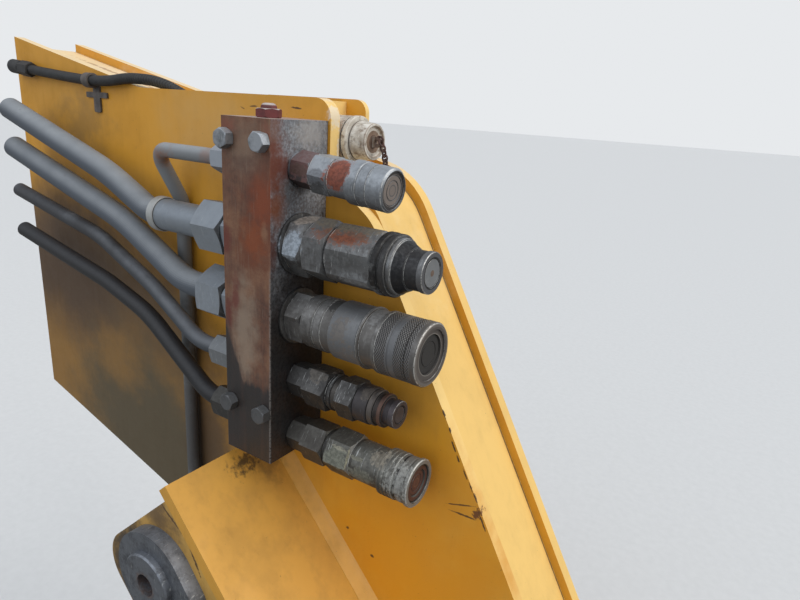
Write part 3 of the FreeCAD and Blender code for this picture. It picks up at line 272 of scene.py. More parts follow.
class Graph:
    """Shader nodes under construction.

    Args:
        name: Name of the finish in plain words.
        stock: Where Blender keeps what is built, materials or worlds.
    """

    def __init__(self, name: str, stock: str = "materials") -> None:
        """Start with an empty node tree."""
        self.owner = getattr(bpy.data, stock).new(name)
        self.owner.use_nodes = True
        self.tree = self.owner.node_tree
        self.tree.nodes.clear()
        self._coordinates: Optional[bpy.types.NodeSocket] = None
        self._normal: Optional[bpy.types.NodeSocket] = None
        self._noises: dict[tuple, Wire] = {}

    def node(self, kind: str, settings: Optional[dict] = None,
             values: Values = None) -> bpy.types.Node:
        """Add one node.

        Args:
            kind: The node's type.
            settings: Properties that are set before the sockets.
            values: Values or links of the sockets, in order or by name.

        Returns:
            The new node.
        """
        made = self.tree.nodes.new(kind)
        for key, value in (settings or {}).items():
            setattr(made, key, value)
        pairs = values.items() if isinstance(values, dict) else enumerate(values or [])
        for key, value in pairs:
            if value is None:
                continue
            if isinstance(value, Wire):
                self.tree.links.new(value.socket, made.inputs[key])
            elif isinstance(value, bpy.types.NodeSocket):
                self.tree.links.new(value, made.inputs[key])
            elif isinstance(value, tuple) and made.inputs[key].type == "RGBA":
                made.inputs[key].default_value = (*value, 1.0)
            else:
                made.inputs[key].default_value = value
        return made

    def coordinates(self) -> bpy.types.NodeSocket:
        """Object coordinates, shared by all nodes."""
        if self._coordinates is None:
            self._coordinates = self.node("ShaderNodeTexCoord").outputs["Object"]
        return self._coordinates

    def spot(self, origin: Vector, turn: Point = (0.0, 0.0, 0.0),
             scale: Point = (0.001, 0.001, 0.001)) -> bpy.types.NodeSocket:
        """Give coordinates measured from a point, in turned and scaled axes.

        Args:
            origin: The point in metres.
            turn: Turn of the axes in radians.
            scale: Size of one unit along each axis, in metres.

        Returns:
            The new coordinates.
        """
        node = self.node("ShaderNodeMapping", {"vector_type": "TEXTURE"},
                         [self.coordinates(), tuple(origin), turn, scale])
        return node.outputs[0]

    def axes(self, vector: bpy.types.NodeSocket) -> tuple[Wire, Wire, Wire]:
        """Split a vector into its three axes."""
        node = self.node("ShaderNodeSeparateXYZ", None, [vector])
        return tuple(Wire(self, socket) for socket in node.outputs)

    def normal(self, letter: str) -> Wire:
        """One axis of the true surface normal."""
        if self._normal is None:
            self._normal = self.node("ShaderNodeNewGeometry").outputs["True Normal"]
        return self.axes(self._normal)["XYZ".index(letter)]

    def facing(self, side: Side, least: float = 0.6) -> Wire:
        """Mask of the faces that look one way."""
        letter, sign = side.value
        return (self.normal(letter) * sign).above(least, 0.2)

    def noise(self, size: float, detail: float = 4.0, rough: float = 0.55,
              stretch: Point = (1.0, 1.0, 1.0), shift: float = 0.0) -> Wire:
        """Fractal noise in object coordinates.

        Args:
            size: Size of one patch in millimetres.
            detail: Number of finer layers.
            rough: Strength of the finer layers.
            stretch: How much longer the patches are along each axis.
            shift: Moves the pattern so that two layers differ.

        Returns:
            A value about 0.5.
        """
        key = (size, detail, rough, stretch, shift)
        if key not in self._noises:
            scale = tuple(size * s / 1000.0 for s in stretch)
            vector = self.spot(Vector((shift, shift * 0.7, shift * 1.3)), scale=scale)
            node = self.node("ShaderNodeTexNoise", None,
                             {"Vector": vector, "Scale": 1.0, "Detail": detail,
                              "Roughness": rough})
            self._noises[key] = Wire(self, node.outputs["Fac"])
        return self._noises[key]

    def blob(self, mark: Mark) -> Wire:
        """Mask of a soft patch with a ragged rim.

        Args:
            mark: The patch.

        Returns:
            A mask from 0 to the mark's weight.
        """
        scale = tuple(r / 1000.0 for r in mark.radii)
        vector = self.spot(place(*mark.centre), (0.0, math.radians(mark.turn), 0.0), scale)
        length = self.node("ShaderNodeVectorMath", {"operation": "LENGTH"}, [vector])
        reach = Wire(self, length.outputs["Value"])
        wobble = (self.noise(mark.grain, 5.0, 0.62, shift=3.3) - 0.5) * (4 * mark.ragged)
        return (reach + wobble).below(1.0 - mark.soft / 2, mark.soft) * mark.weight

    def marked(self, colour: Wire, marks: Sequence[Mark]) -> Wire:
        """Lay patches over a colour, in order."""
        for mark in marks:
            colour = self.mix(self.blob(mark), colour, mark.tone)
        return colour

    def mix(self, mask: Number, first: Union[Colour, Wire], second: Union[Colour, Wire],
            blend: str = "MIX") -> Wire:
        """Blend two colours.

        Args:
            mask: Share of the second colour.
            first: Colour where the mask is 0.
            second: Colour where the mask is 1.
            blend: Blend mode.

        Returns:
            The blended colour.
        """
        node = self.node("ShaderNodeMix", {"data_type": "RGBA", "blend_type": blend,
                                           "clamp_factor": True},
                         {0: mask, 6: first, 7: second})
        return Wire(self, node.outputs[2])

    def striped(self, colour: Wire, value: Wire, bands: Sequence[Band],
                mask: Number = 1.0) -> Wire:
        """Lay bands with crisp edges over a colour.

        Args:
            colour: Colour between the bands.
            value: What the bands' limits are measured in.
            bands: The bands, which don't overlap.
            mask: Where they show.

        Returns:
            The banded colour.
        """
        if not bands:
            return colour
        low = min(band.low for band in bands) - 1.0
        span = max(band.high for band in bands) + 1.0 - low
        stops = {0.0: (0.0, 0.0, 0.0, 0.0)}
        for band in bands:
            stops[(band.low - low) / span] = (*band.tone, band.weight)
        for band in bands:
            stops.setdefault((band.high - low) / span, (0.0, 0.0, 0.0, 0.0))
        node = self.node("ShaderNodeValToRGB", None, [(value - low) / span])
        ramp = node.color_ramp
        ramp.interpolation = "CONSTANT"
        ramp.elements.remove(ramp.elements[1])
        ramp.elements[0].position = 0.0
        ramp.elements[0].color = stops.pop(0.0)
        for position, tone in sorted(stops.items()):
            ramp.elements.new(position).color = tone
        weight = Wire(self, node.outputs["Alpha"]) * mask
        return self.mix(weight, colour, Wire(self, node.outputs["Color"]))

    def bump(self, height: Wire, depth: float) -> Wire:
        """Add a relief of a depth in millimetres."""
        node = self.node("ShaderNodeBump", None,
                         {"Strength": 1.0, "Distance": depth / 1000.0, "Height": height})
        return Wire(self, node.outputs[0])

    def finish(self, colour: Union[Colour, Wire], roughness: Number, metallic: Number = 0.0,
               normal: Optional[Wire] = None, coat: float = 0.0) -> bpy.types.Material:
        """Close the material with one surface shader.

        Args:
            colour: Base colour.
            roughness: Roughness.
            metallic: Metallic share.
            normal: Relief.
            coat: Weight of a clear coat, the same all over.

        Returns:
            The finished material.
        """
        shader = self.node("ShaderNodeBsdfPrincipled", None,
                           {"Base Color": colour, "Roughness": roughness,
                            "Metallic": metallic, "Normal": normal, "Coat Weight": coat})
        output = self.node("ShaderNodeOutputMaterial")
        self.tree.links.new(shader.outputs[0], output.inputs["Surface"])
        return self.owner


@dataclass(frozen=True)
class Finish:
    """A finish that builds its own material.

    Args:
        name: Name of the material.
    """

    name: str

    def material(self) -> bpy.types.Material:
        """Build the material."""
        raise NotImplementedError


@dataclass(frozen=True)
class ArmPaint(Finish):
    """Faded yellow enamel on plate: dirt, oil, chipped edges and a painted sunlit highlight."""

    gold: Colour = (0.66, 0.30, 0.014)
    faded_and_sunlit: Colour = (0.90, 0.62, 0.22)
    bleached: Colour = (0.84, 0.66, 0.42)
    grime: Colour = (0.075, 0.046, 0.024)
    primer: Colour = (0.035, 0.026, 0.02)
    rust: Colour = (0.15, 0.045, 0.016)
    grime_share: float = 0.30
    marks: tuple[Mark, ...] = ()

    def material(self) -> bpy.types.Material:
        """Build the paint.

        Returns:
            The material.
        """
        g = Graph(self.name)
        broad = g.noise(130, 3)
        cloud = g.noise(38, 5, 0.6, shift=1.3)
        fine = g.noise(5, 4, 0.6, shift=2.1)
        drips = g.noise(9, 5, 0.62, stretch=(1, 1, 7), shift=0.4)
        speck = g.noise(1.6, 3, 0.6, shift=5.0)
        across = g.normal("Y")
        side_face = (across * across).above(0.5, 0.3)
        away = g.facing(Side.AWAY)
        top = g.facing(Side.UP, 0.85)
        # Painted sunlit highlight: faces that don't look sideways, the wrap and the plates' edges,
        # take the paler tone.
        colour = g.mix(1.0 - side_face, self.gold, self.faded_and_sunlit)
        colour = g.mix(top * (0.5 + cloud * 0.6), colour, self.bleached)
        colour = g.mix(broad.above(0.5, 0.4) * (away * 0.3 + 0.10), colour, self.faded_and_sunlit)
        film = cloud.above(0.56, 0.3) * 0.55 + drips.above(0.6, 0.3) * 0.35
        share = away * 0.2 + self.grime_share
        colour = g.mix(film * share, colour, g.mix(0.35, self.grime, colour))
        colour = g.marked(colour, self.marks)
        specks = speck.above(0.72, 0.03) * cloud.above(0.5, 0.2)
        colour = g.mix(specks * 0.7, colour, self.primer)
        chips = g.noise(11, 6, 0.7, shift=7.0) + away * 0.03
        chips = chips.above(0.735, 0.015) * broad.above(0.5, 0.2)
        scrape = g.noise(3, 3, 0.6, stretch=(26, 1, 1), shift=9.0) + away * 0.05
        chips = chips | (scrape.above(0.80, 0.02) * cloud.above(0.5, 0.2) * 0.7)
        colour = g.mix(chips, colour, g.mix(fine.above(0.5, 0.2), self.primer, self.rust))
        rough = 0.42 + fine * 0.14 + film * 0.25
        height = fine * 0.25 + cloud * 0.6 - chips * 0.8
        return g.finish(colour, rough, 0.0, g.bump(height, 0.22), coat=0.05)


@dataclass(frozen=True)
class RustedZinc(Finish):
    """Zinc-plated block, rusty on the side that faces out, oily below, with painted shadow on its
    front.
    """

    zinc: Colour = (0.17, 0.18, 0.20)
    pale: Colour = (0.37, 0.385, 0.41)
    tan: Colour = (0.205, 0.100, 0.054)
    umber: Colour = (0.082, 0.036, 0.023)
    oil: Colour = (0.020, 0.018, 0.018)
    flank_marks: tuple[Mark, ...] = marks(
        Side.CAMERA, 0, 30, (-26, -150, 18, 66, (0.27, 0.205, 0.15), 0.75, 12),
        (-6, -58, 27, 46, (0.13, 0.036, 0.016), 0.95, 9, 0.8),
        (-20, -90, 19, 24, (0.13, 0.038, 0.016), 0.9, 9, 0.8, -25),
        (-8, -54, 15, 28, (0.205, 0.044, 0.012), 0.85, 6),
        (-15, -80, 16, 20, (0.215, 0.05, 0.012), 0.85, 6, 0.9, -25),
        (-5, -74, 5, 9, (0.24, 0.14, 0.08), 0.55, 6),
        (-43, -84, 8, 16, (0.11, 0.018, 0.013), 0.8, 8, 0.8),
        (-34, -124, 6, 22, (0.12, 0.02, 0.015), 0.75, 8, 0.8),
        (-42, -138, 6, 16, (0.1, 0.014, 0.012), 0.75, 8, 0.8),
        (-3, -12, 9, 14, (0.24, 0.085, 0.05), 0.7, 6),
        (-24, -20, 24, 26, (0.24, 0.165, 0.115), 0.6, 9, 1),
        (-40, -6, 14, 8, (0.22, 0.07, 0.04), 0.7, 6), (-26, -28, 16, 5, (0.1, 0.05, 0.034), 0.5, 5))
    # On the front, the rows at (52, -100) and (28, -112) are dirt with a painted shadow under the
    # large male coupler.
    front_marks: tuple[Mark, ...] = marks(
        Side.FORWARD, 0, 10, (2, -30, 18, 44, (0.17, 0.052, 0.03), 0.95, 8),
        (15, -31, 16, 13, (0.15, 0.045, 0.03), 0.85, 6),
        (6, -58, 13, 18, (0.24, 0.075, 0.03), 0.85, 6, 1), (3, -8, 9, 12, (0.2, 0.1, 0.07), 0.7, 5),
        (2, -86, 8, 26, (0.12, 0.04, 0.025), 0.85, 5), (52, -100, 11, 46, BLACK, 0.95, 9, 0.7),
        (30, -44, 18, 6, SOOT, 0.7, 6), (38, -8, 26, 18, (0.42, 0.4, 0.385), 0.7, 5),
        (28, -112, 40, 26, (0.022, 0.021, 0.024)))
    OIL_LEVEL = -187.0
    OIL_CORNER = -27.0
    OIL_SLOPE = 2.3
    FRONT_OIL_AND_SHADE_LEVEL = -112.0

    def material(self) -> bpy.types.Material:
        """Build the block's finish.

        Returns:
            The material.
        """
        g = Graph(self.name)
        x, _, z = g.axes(g.spot(place(0, 0, 0)))
        streak = g.noise(5, 6, 0.66, stretch=(1, 1, 16), shift=0.7)
        thread = g.noise(1.6, 4, 0.6, stretch=(1, 1, 18), shift=1.9)
        cloud = g.noise(24, 6, 0.62, shift=3.1)
        fine = g.noise(1.9, 4, 0.68, shift=4.4)
        grain = g.noise(0.8, 2, 0.6, shift=6.0)
        flank = g.facing(Side.CAMERA)
        front = g.facing(Side.FORWARD)
        top = g.facing(Side.UP)
        wood = g.mix((streak * 0.25 + thread * 0.1 + cloud * 0.65).above(0.5, 0.24),
                     self.tan, self.umber)
        wood = g.mix(fine.above(0.52, 0.2) * 0.5, wood, (0.15, 0.060, 0.035))
        wood = g.marked(wood, self.flank_marks)
        wood = g.mix(thread.above(0.62, 0.1) * 0.2, wood, (0.30, 0.22, 0.16))
        mottled = g.mix((fine * 0.6 + cloud * 0.4).above(0.53, 0.22), self.zinc, self.pale)
        mottled = g.mix(fine.below(0.42, 0.16) * 0.6, mottled, (0.15, 0.105, 0.08))
        mottled = g.marked(mottled, self.front_marks)
        colour = g.mix(flank, mottled, wood)
        colour = g.mix(top * 0.85, colour, g.mix(cloud.above(0.5, 0.3), (0.44, 0.33, 0.28),
                                                 (0.30, 0.20, 0.16)))
        fall = (self.OIL_CORNER - x) | 0.0
        depth = z - self.OIL_LEVEL - fall * self.OIL_SLOPE
        depth = depth + (cloud - 0.5) * 20 + (streak - 0.5) * 14
        oil_and_shade = depth.below(0, 7) * flank
        # On the front face, the darkening below the front level is dirt with a painted shadow under
        # the large male coupler.
        oil_and_shade = oil_and_shade | ((z + (cloud - 0.5) * 50).below(self.FRONT_OIL_AND_SHADE_LEVEL, 36) * front)
        tar_and_shade_tone = g.mix((streak * 0.5 + cloud * 0.5).above(0.55, 0.14) * 0.55, self.oil,
                    (0.045, 0.027, 0.022))
        colour = g.mix(oil_and_shade * 0.97, colour, tar_and_shade_tone)
        rim = depth.within(0, 9, 4) * flank * thread.above(0.48, 0.2) * 0.4
        colour = g.mix(rim, colour, (0.05, 0.036, 0.03))
        ridge = x.within(-1.3, 0.4, 0.4) * (g.normal("X").within(0.3, 0.95, 0.2) | flank)
        ridge = ridge * z.below(-100, 20) * fine.above(0.45, 0.2)
        colour = g.mix(ridge * 0.5, colour, (0.22, 0.20, 0.185))
        rough = 0.55 - oil_and_shade * 0.12 + fine * 0.15
        metal = (0.5 - flank * 0.45 - top * 0.4) | 0.02
        height = fine * 0.5 + grain * 0.3 + streak * 0.6
        return g.finish(colour, rough, metal, g.bump(height, 0.3))


@dataclass(frozen=True)
class WornSteel(Finish):
    """Plated steel that is worn, stained and in places rusty.

    On a turned piece, height and droop place the axis. Flanks are bands along it,
    faces are bands outward from it on what looks forward, edges are places with a
    worn bright rim and a painted highlight, and knurls have a diamond pattern.
    Patches lie round the axis. Painted shading makes faces that look up lighter
    and faces that look down darker.
    """

    light: Colour = (0.40, 0.40, 0.41)
    dark: Colour = (0.10, 0.098, 0.095)
    dark_share: float = 0.5
    rust_share: float = 0.15
    roughness: float = 0.42
    metallic: float = 0.7
    height: float = 0.0
    droop: float = 0.0
    flanks: tuple[Band, ...] = ()
    faces: tuple[Band, ...] = ()
    edges: tuple[float, ...] = ()
    knurls: tuple[Band, ...] = ()
    patches: tuple[Patch, ...] = ()
    marks: tuple[Mark, ...] = ()
    FACES_FROM = 40.0
    EDGE_REACH = 0.25
    KNURL_ROUND = 60.0
    KNURL_ALONG = 3.6

    def material(self) -> bpy.types.Material:
        """Build the steel.

        Returns:
            The material.
        """
        g = Graph(self.name)
        cloud = g.noise(12, 6, 0.62, shift=1.9)
        fine = g.noise(2.4, 5, 0.65, shift=0.3)
        grain = g.noise(0.7, 2, 0.5, stretch=(0.35, 1, 1))
        scratch = g.noise(1.1, 3, 0.6, stretch=(1, 9, 9), shift=2.6)
        stain = (cloud * 0.7 + fine * 0.3).above(1.0 - self.dark_share, 0.28)
        local = g.spot(place(0, COUPLER_Y, self.height), (0.0, math.radians(self.droop), 0.0))
        x, y, z = g.axes(local)
        radius = (y * y + z * z).power(0.5)
        angle = z.over(0.0 - y)
        front = g.normal("X").above(0.8, 0.2)
        colour = g.mix(stain, self.light, self.dark)
        colour = g.mix(scratch.above(0.66, 0.08) * 0.45, colour, PALE)
        # Painted shading: faces that look up are multiplied lighter and faces that look down
        # darker.
        painted_top_light = g.normal("Z") * 0.5 + 0.5
        colour = g.mix(1.0, colour, g.mix(painted_top_light, (0.50, 0.49, 0.48), (1.34, 1.35, 1.36)), "MULTIPLY")
        rust = g.noise(6, 6, 0.68, shift=8.0).above(0.78 - self.rust_share * 0.6, 0.09)
        rust_tone = g.mix(fine.above(0.5, 0.3), RUST, (0.085, 0.034, 0.02))
        colour = g.mix(rust, colour, rust_tone)
        worn = 0.6 + fine * 0.7
        colour = g.striped(colour, x, self.flanks, (1.0 - front) * worn)
        colour = g.striped(colour, radius, self.faces, front * x.above(self.FACES_FROM, 4))
        stained = rust
        for patch in self.patches:
            length = (x - patch.along) / patch.reach
            around = (angle * (180.0 / math.pi) - patch.lift) / patch.spread
            reach = (length * length + around * around).power(0.5)
            mask = (reach + (fine + cloud - 1.0) * 2.0 * patch.ragged).below(0.85, 0.3)
            mask = mask * patch.weight * (1.0 - front)
            colour = g.mix(mask, colour, g.mix(fine.above(0.5, 0.2) * 0.75, patch.tone,
                                               tuple(c * 0.45 for c in patch.tone)))
            stained = stained | mask
        colour = g.marked(colour, self.marks)
        # Painted highlight on worn bright rims at the listed edges.
        painted_rim_highlights = [Band(at - self.EDGE_REACH, at + self.EDGE_REACH, WORN_RIM_HIGHLIGHT, 0.55)
                for at in self.edges]
        colour = g.striped(colour, x, painted_rim_highlights, fine.above(0.46, 0.16) * (1.0 - front))
        relief = grain * 0.4 + fine * 0.4 + stained * 0.5
        for knurl in self.knurls:
            turns = angle * self.KNURL_ROUND
            pitch = x * self.KNURL_ALONG
            diamond = (turns + pitch).sine() * 0.65 + (turns - pitch).sine() * 0.35
            mask = x.within(knurl.low, knurl.high, 0.4) * (1.0 - front)
            relief = relief + diamond * mask * 1.7
            colour = g.mix(diamond.below(0.0, 0.5) * mask * knurl.weight, colour, knurl.tone)
        rough = self.roughness + stain * 0.14 + stained * 0.3 + fine * 0.08
        metal = self.metallic - stained * self.metallic - stain * self.metallic * 0.35
        return g.finish(colour, rough, metal | 0.0, g.bump(relief, 0.14))


@dataclass(frozen=True)
class TubePaint(Finish):
    """Grey enamel on steel tube, paler on top from dust and a painted highlight, and rubbed."""

    base: Colour = (0.075, 0.088, 0.108)
    dust_and_top_light: Colour = (0.31, 0.33, 0.35)
    dark: Colour = (0.05, 0.05, 0.05)
    dark_share: float = 0.3
    marks: tuple[Mark, ...] = ()

    def material(self) -> bpy.types.Material:
        """Build the enamel.

        Returns:
            The material.
        """
        g = Graph(self.name)
        cloud = g.noise(20, 5, 0.6, shift=0.9)
        fine = g.noise(2.5, 4, 0.6, shift=2.2)
        # Paler on top: dust with a painted highlight from above.
        up = g.normal("Z").above(0.35, 0.9)
        colour = g.mix(up * (0.35 + cloud * 0.6), self.base, self.dust_and_top_light)
        stain = (cloud * 0.6 + fine * 0.4).above(1.0 - self.dark_share, 0.2)
        colour = g.mix(stain * 0.8, colour, self.dark)
        colour = g.marked(colour, self.marks)
        chips = fine.above(0.73, 0.03)
        colour = g.mix(chips, colour, (0.09, 0.045, 0.025))
        return g.finish(colour, 0.5 + fine * 0.15, 0.0, g.bump(fine - chips * 0.5, 0.12))


@dataclass(frozen=True)
class CastAlloy(Finish):
    """Weathered cast alloy with a chalky bloom and brown dirt on its edges."""

    base: Colour = (0.42, 0.37, 0.31)
    bloom: Colour = (0.72, 0.69, 0.63)
    soil: Colour = (0.16, 0.10, 0.06)
    height: float = -13.0
    depth: float = 85.0
    flanks: tuple[Band, ...] = table(
        Band, (-3.2, 1.5, (0.48, 0.44, 0.38), 0.5), (1.5, 3, (0.1, 0.07, 0.05)),
        (3, 7.2, (0.72, 0.68, 0.6), 0.5), (7.2, 8.2, (0.07, 0.05, 0.04), 0.8),
        (19.8, 21.2, (0.22, 0.14, 0.09), 0.6), (21.2, 27, (0.11, 0.055, 0.035)))
    faces: tuple[Band, ...] = table(
        Band, (0, 5, (0.1, 0.05, 0.03), 0.95), (5, 8, (0.2, 0.12, 0.075)),
        (8, 10.6, (0.6, 0.55, 0.48), 0.6), (10.6, 11.6, (0.14, 0.09, 0.06), 0.6))
    CAP_FROM = 12.0

    def material(self) -> bpy.types.Material:
        """Build the alloy.

        Returns:
            The material.
        """
        g = Graph(self.name)
        cloud = g.noise(8, 6, 0.62, shift=2.9)
        fine = g.noise(1.4, 4, 0.6, shift=1.2)
        x, y, z = g.axes(g.spot(place(0, self.depth, self.height)))
        radius = (y * y + z * z).power(0.5)
        front = g.normal("X").above(0.8, 0.2) * x.above(self.CAP_FROM, 2)
        colour = g.mix(cloud.above(0.5, 0.3), self.base, self.bloom)
        colour = g.striped(colour, x, self.flanks, (1.0 - front) * (0.5 + cloud))
        colour = g.striped(colour, radius, self.faces, front * (0.5 + cloud))
        dirt = g.noise(4, 6, 0.7, shift=5.5).above(0.58, 0.16)
        colour = g.mix(dirt * 0.75, colour, self.soil)
        return g.finish(colour, 0.55 + fine * 0.2, 0.15, g.bump(fine + cloud, 0.16))


@dataclass(frozen=True)
class PlainFinish(Finish):
    """A dull finish with grain, for small pieces.

    The colour varies between two tones and a third shows in scattered flecks.
    """

    first: Colour
    second: Colour
    fleck: Colour = (0.02, 0.018, 0.016)
    top: Optional[Colour] = None
    roughness: float = 0.6
    metallic: float = 0.0
    grain: float = 3.0
    ribs: float = 0.0

    def material(self) -> bpy.types.Material:
        """Build the finish.

        Returns:
            The material.
        """
        g = Graph(self.name)
        cloud = g.noise(self.grain * 3, 5, 0.62, shift=0.8)
        fine = g.noise(self.grain * 0.5, 4, 0.6, shift=1.7)
        colour = g.mix(cloud.above(0.5, 0.3), self.first, self.second)
        if self.top is not None:
            colour = g.mix(g.facing(Side.UP) * (0.5 + cloud * 0.6), colour, self.top)
        colour = g.mix(fine.above(0.66, 0.08) * 0.8, colour, self.fleck)
        height = fine + cloud * 0.5
        if self.ribs:
            x, _, _ = g.axes(g.spot(place(0, 0, 0)))
            wave = (x * (2 * math.pi / self.ribs)).sine()
            height = height + wave * 2.0
            colour = g.mix(wave.above(0.3, 0.8) * 0.35, colour, (0.05, 0.05, 0.05))
        return g.finish(colour, self.roughness + fine * 0.12, self.metallic,
                        g.bump(height, self.grain * 0.04))


class Shop:
    """Builds each finish once and puts it on nodes."""

    def __init__(self) -> None:
        """Start with no finish made."""
        self._made: dict[str, bpy.types.Material] = {}

    def material(self, finish: Finish) -> bpy.types.Material:
        """Give a finish's material, made on first use."""
        if finish.name not in self._made:
            self._made[finish.name] = finish.material()
        return self._made[finish.name]

    def paint(self, finish: Finish, *node_names: str) -> None:
        """Put a finish on nodes of the frame.

        Args:
            finish: The finish.
            node_names: Names of the nodes.
        """
        material = self.material(finish)
        for name in node_names:
            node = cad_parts[name]
            if not node.material_slots:
                node.data.materials.append(material)
            for slot in node.material_slots:
                slot.material = material


@dataclass(frozen=True)
class Lamp:
    """One broad and distant lamp.

    Args:
        name: Name of the lamp.
        toward: Direction in which it lies.
        spread: Its width in degrees.
        strength: Its strength in watts a square metre.
        colour: Its colour.
    """

    name: str
    toward: Point
    spread: float
    strength: float
    colour: Colour

    def hang(self) -> None:
        """Add the lamp to the scene."""
        data = bpy.data.lights.new(self.name, "SUN")
        data.angle = math.radians(self.spread)
        data.energy = self.strength
        data.color = self.colour
        lamp = stand(self.name, data)
        lamp.rotation_euler = (-Vector(self.toward)).to_track_quat("-Z", "Y").to_euler()


@dataclass(frozen=True)
class Studio:
    """Camera at the photograph's viewing angle, soft light and a pale floor."""

    eye: Point = (286.277, -286.77, 9.848)
    yaw: float = 0.5638216
    pitch: float = 0.3013230
    roll: float = 0.0655584
    focal_px: float = 607.164
    width_px: float = 800.0
    sensor: float = 36.0
    sky: Colour = (0.88, 0.93, 1.0)
    sky_strength: float = 0.50
    backdrop: Colour = (0.80, 0.82, 0.84)
    lamps: tuple[Lamp, ...] = table(
        Lamp, ("high_cloud", (2.4, 0.7, 2.6), 60.0, 2.1, (1.0, 0.97, 0.92)),
        ("open_sky", (-0.5, -2.6, 1.9), 70.0, 1.2, (0.90, 0.95, 1.0)))
    floor_size: float = 30.0
    floor_drop: float = 0.60

    def camera(self) -> None:
        """Place the camera."""
        data = bpy.data.cameras.new("photo_camera")
        data.sensor_width = self.sensor
        data.lens = self.focal_px * self.sensor / self.width_px
        data.clip_start = 0.01
        data.clip_end = 60.0
        camera = stand("photo_camera", data)
        camera.matrix_world = (Matrix.Translation(place(*self.eye))
                               @ Matrix.Rotation(self.yaw, 4, "Z")
                               @ Matrix.Rotation(math.pi / 2 - self.pitch, 4, "X")
                               @ Matrix.Rotation(self.roll, 4, "Z"))
        bpy.context.scene.camera = camera

    def light(self) -> None:
        """Set the sky and the lamps."""
        bpy.context.scene.view_settings.view_transform = "Standard"
        g = Graph("sky", "worlds")
        bpy.context.scene.world = g.owner
        rays = g.node("ShaderNodeLightPath").outputs
        seen = Wire(g, rays["Is Camera Ray"]) | Wire(g, rays["Is Transmission Ray"])
        sky = g.node("ShaderNodeBackground", None, [self.sky, self.sky_strength])
        pale = g.node("ShaderNodeBackground", None, [self.backdrop, 1.0])
        both = g.node("ShaderNodeMixShader", None, [seen, sky.outputs[0], pale.outputs[0]])
        g.node("ShaderNodeOutputWorld", None, [both.outputs[0]])
        for lamp in self.lamps:
            lamp.hang()

    def floor(self) -> None:
        """Lay the pale floor."""
        bm = bmesh.new()
        bmesh.ops.create_grid(bm, x_segments=1, y_segments=1, size=self.floor_size)
        bmesh.ops.translate(bm, verts=bm.verts, vec=(0.4, 0.0, -self.floor_drop))
        mesh = bpy.data.meshes.new("floor")
        bm.to_mesh(mesh)
        bm.free()
        g = Graph("pale_floor")
        seen = Wire(g, g.node("ShaderNodeLightPath").outputs["Is Camera Ray"])
        colour = g.mix(g.noise(14, 5, 0.6), (0.56, 0.57, 0.58), (0.64, 0.65, 0.66))
        colour = g.mix(seen, (0.26, 0.26, 0.25), colour)
        mesh.materials.append(g.finish(colour, 0.8))
        stand("floor", mesh)


class Bench:
    """Turns bmesh work into finished pieces that ride on a body.

    Args:
        shop: Where the finishes come from.
    """

    CREASE = math.radians(40)

    def __init__(self, shop: Shop) -> None:
        """Keep the shop."""
        self.shop = shop

    def piece(self, name: str, bm: bmesh.types.BMesh, finish: Finish, body: str,
              slot: str) -> bpy.types.Object:
        """Make an object of a bmesh.

        Args:
            name: Name of the piece.
            bm: The mesh, already in place; it is freed.
            finish: Its finish.
            body: The body that it rides on.
            slot: Meant as the record's material slot; not used.

        Returns:
            The new object.
        """
        bmesh.ops.recalc_face_normals(bm, faces=bm.faces)
        for face in bm.faces:
            face.smooth = True
        for edge in bm.edges:
            if len(edge.link_faces) == 2 and edge.calc_face_angle(0.0) > self.CREASE:
                edge.smooth = False
        mesh = bpy.data.meshes.new(name)
        bm.to_mesh(mesh)
        bm.free()
        mesh.materials.append(self.shop.material(finish))
        obj = stand(name, mesh)
        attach(obj, body)
        return obj

    @staticmethod
    def add(whole: bmesh.types.BMesh, part: bmesh.types.BMesh, matrix: Matrix) -> None:
        """Move a part into place and add it to a whole; the part is freed."""
        bmesh.ops.transform(part, matrix=matrix, verts=part.verts)
        scratch = bpy.data.meshes.new("scratch")
        part.to_mesh(scratch)
        part.free()
        whole.from_mesh(scratch)
        bpy.data.meshes.remove(scratch)


class Group:
    """Nodes that are dressed together: each finish, and the nodes that wear it.

    Args:
        shop: Where the finishes come from.
    """

    COATS: tuple[tuple, ...] = ()

    def __init__(self, shop: Shop) -> None:
        """Keep the shop."""
        self.shop = shop

    def dress(self) -> None:
        """Put the finishes on."""
        for finish, *names in self.COATS:
            self.shop.paint(finish, *names)


class Cable(Group):
    """The sheathed cable on its route from the receptacle back into the trough."""

    ROUTE: tuple[Point, ...] = (
        (0.375, -0.009, 0.12155), (0.330, -0.009, 0.12155), (0.2857, -0.006, 0.13075),
        (0.241, -0.0096, 0.14205), (0.2195, -0.0248, 0.15595), (0.196, -0.0406, 0.15745),
        (0.169, -0.0438, 0.15295), (0.120, -0.0438, 0.15375), (0.024, -0.0438, 0.16205))
    LENGTH = 0.3657
    DIAMETER = 0.0092

    def build(self) -> None:
        """Lay the cable."""
        curve = bpy.data.curves.new("cable_sheath", "CURVE")
        curve.dimensions = "3D"
        curve.resolution_u = 12
        curve.bevel_depth = self.DIAMETER / 2
        curve.bevel_resolution = 5
        curve.use_fill_caps = True
        spline = curve.splines.new("NURBS")
        spline.points.add(len(self.ROUTE) - 1)
        for point, at in zip(spline.points, self.ROUTE):
            point.co = (*at, 1.0)
        spline.order_u = 3
        spline.use_endpoint_u = True
        obj = stand("cable_sheath", curve)
        curve.materials.append(self.shop.material(PlainFinish(
            "cable_sheath", (0.010, 0.010, 0.011), (0.020, 0.020, 0.021), (0.06, 0.055, 0.05),
            roughness=0.55, grain=1.8, ribs=1.9)))
        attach(obj, "arm")
        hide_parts("cable")


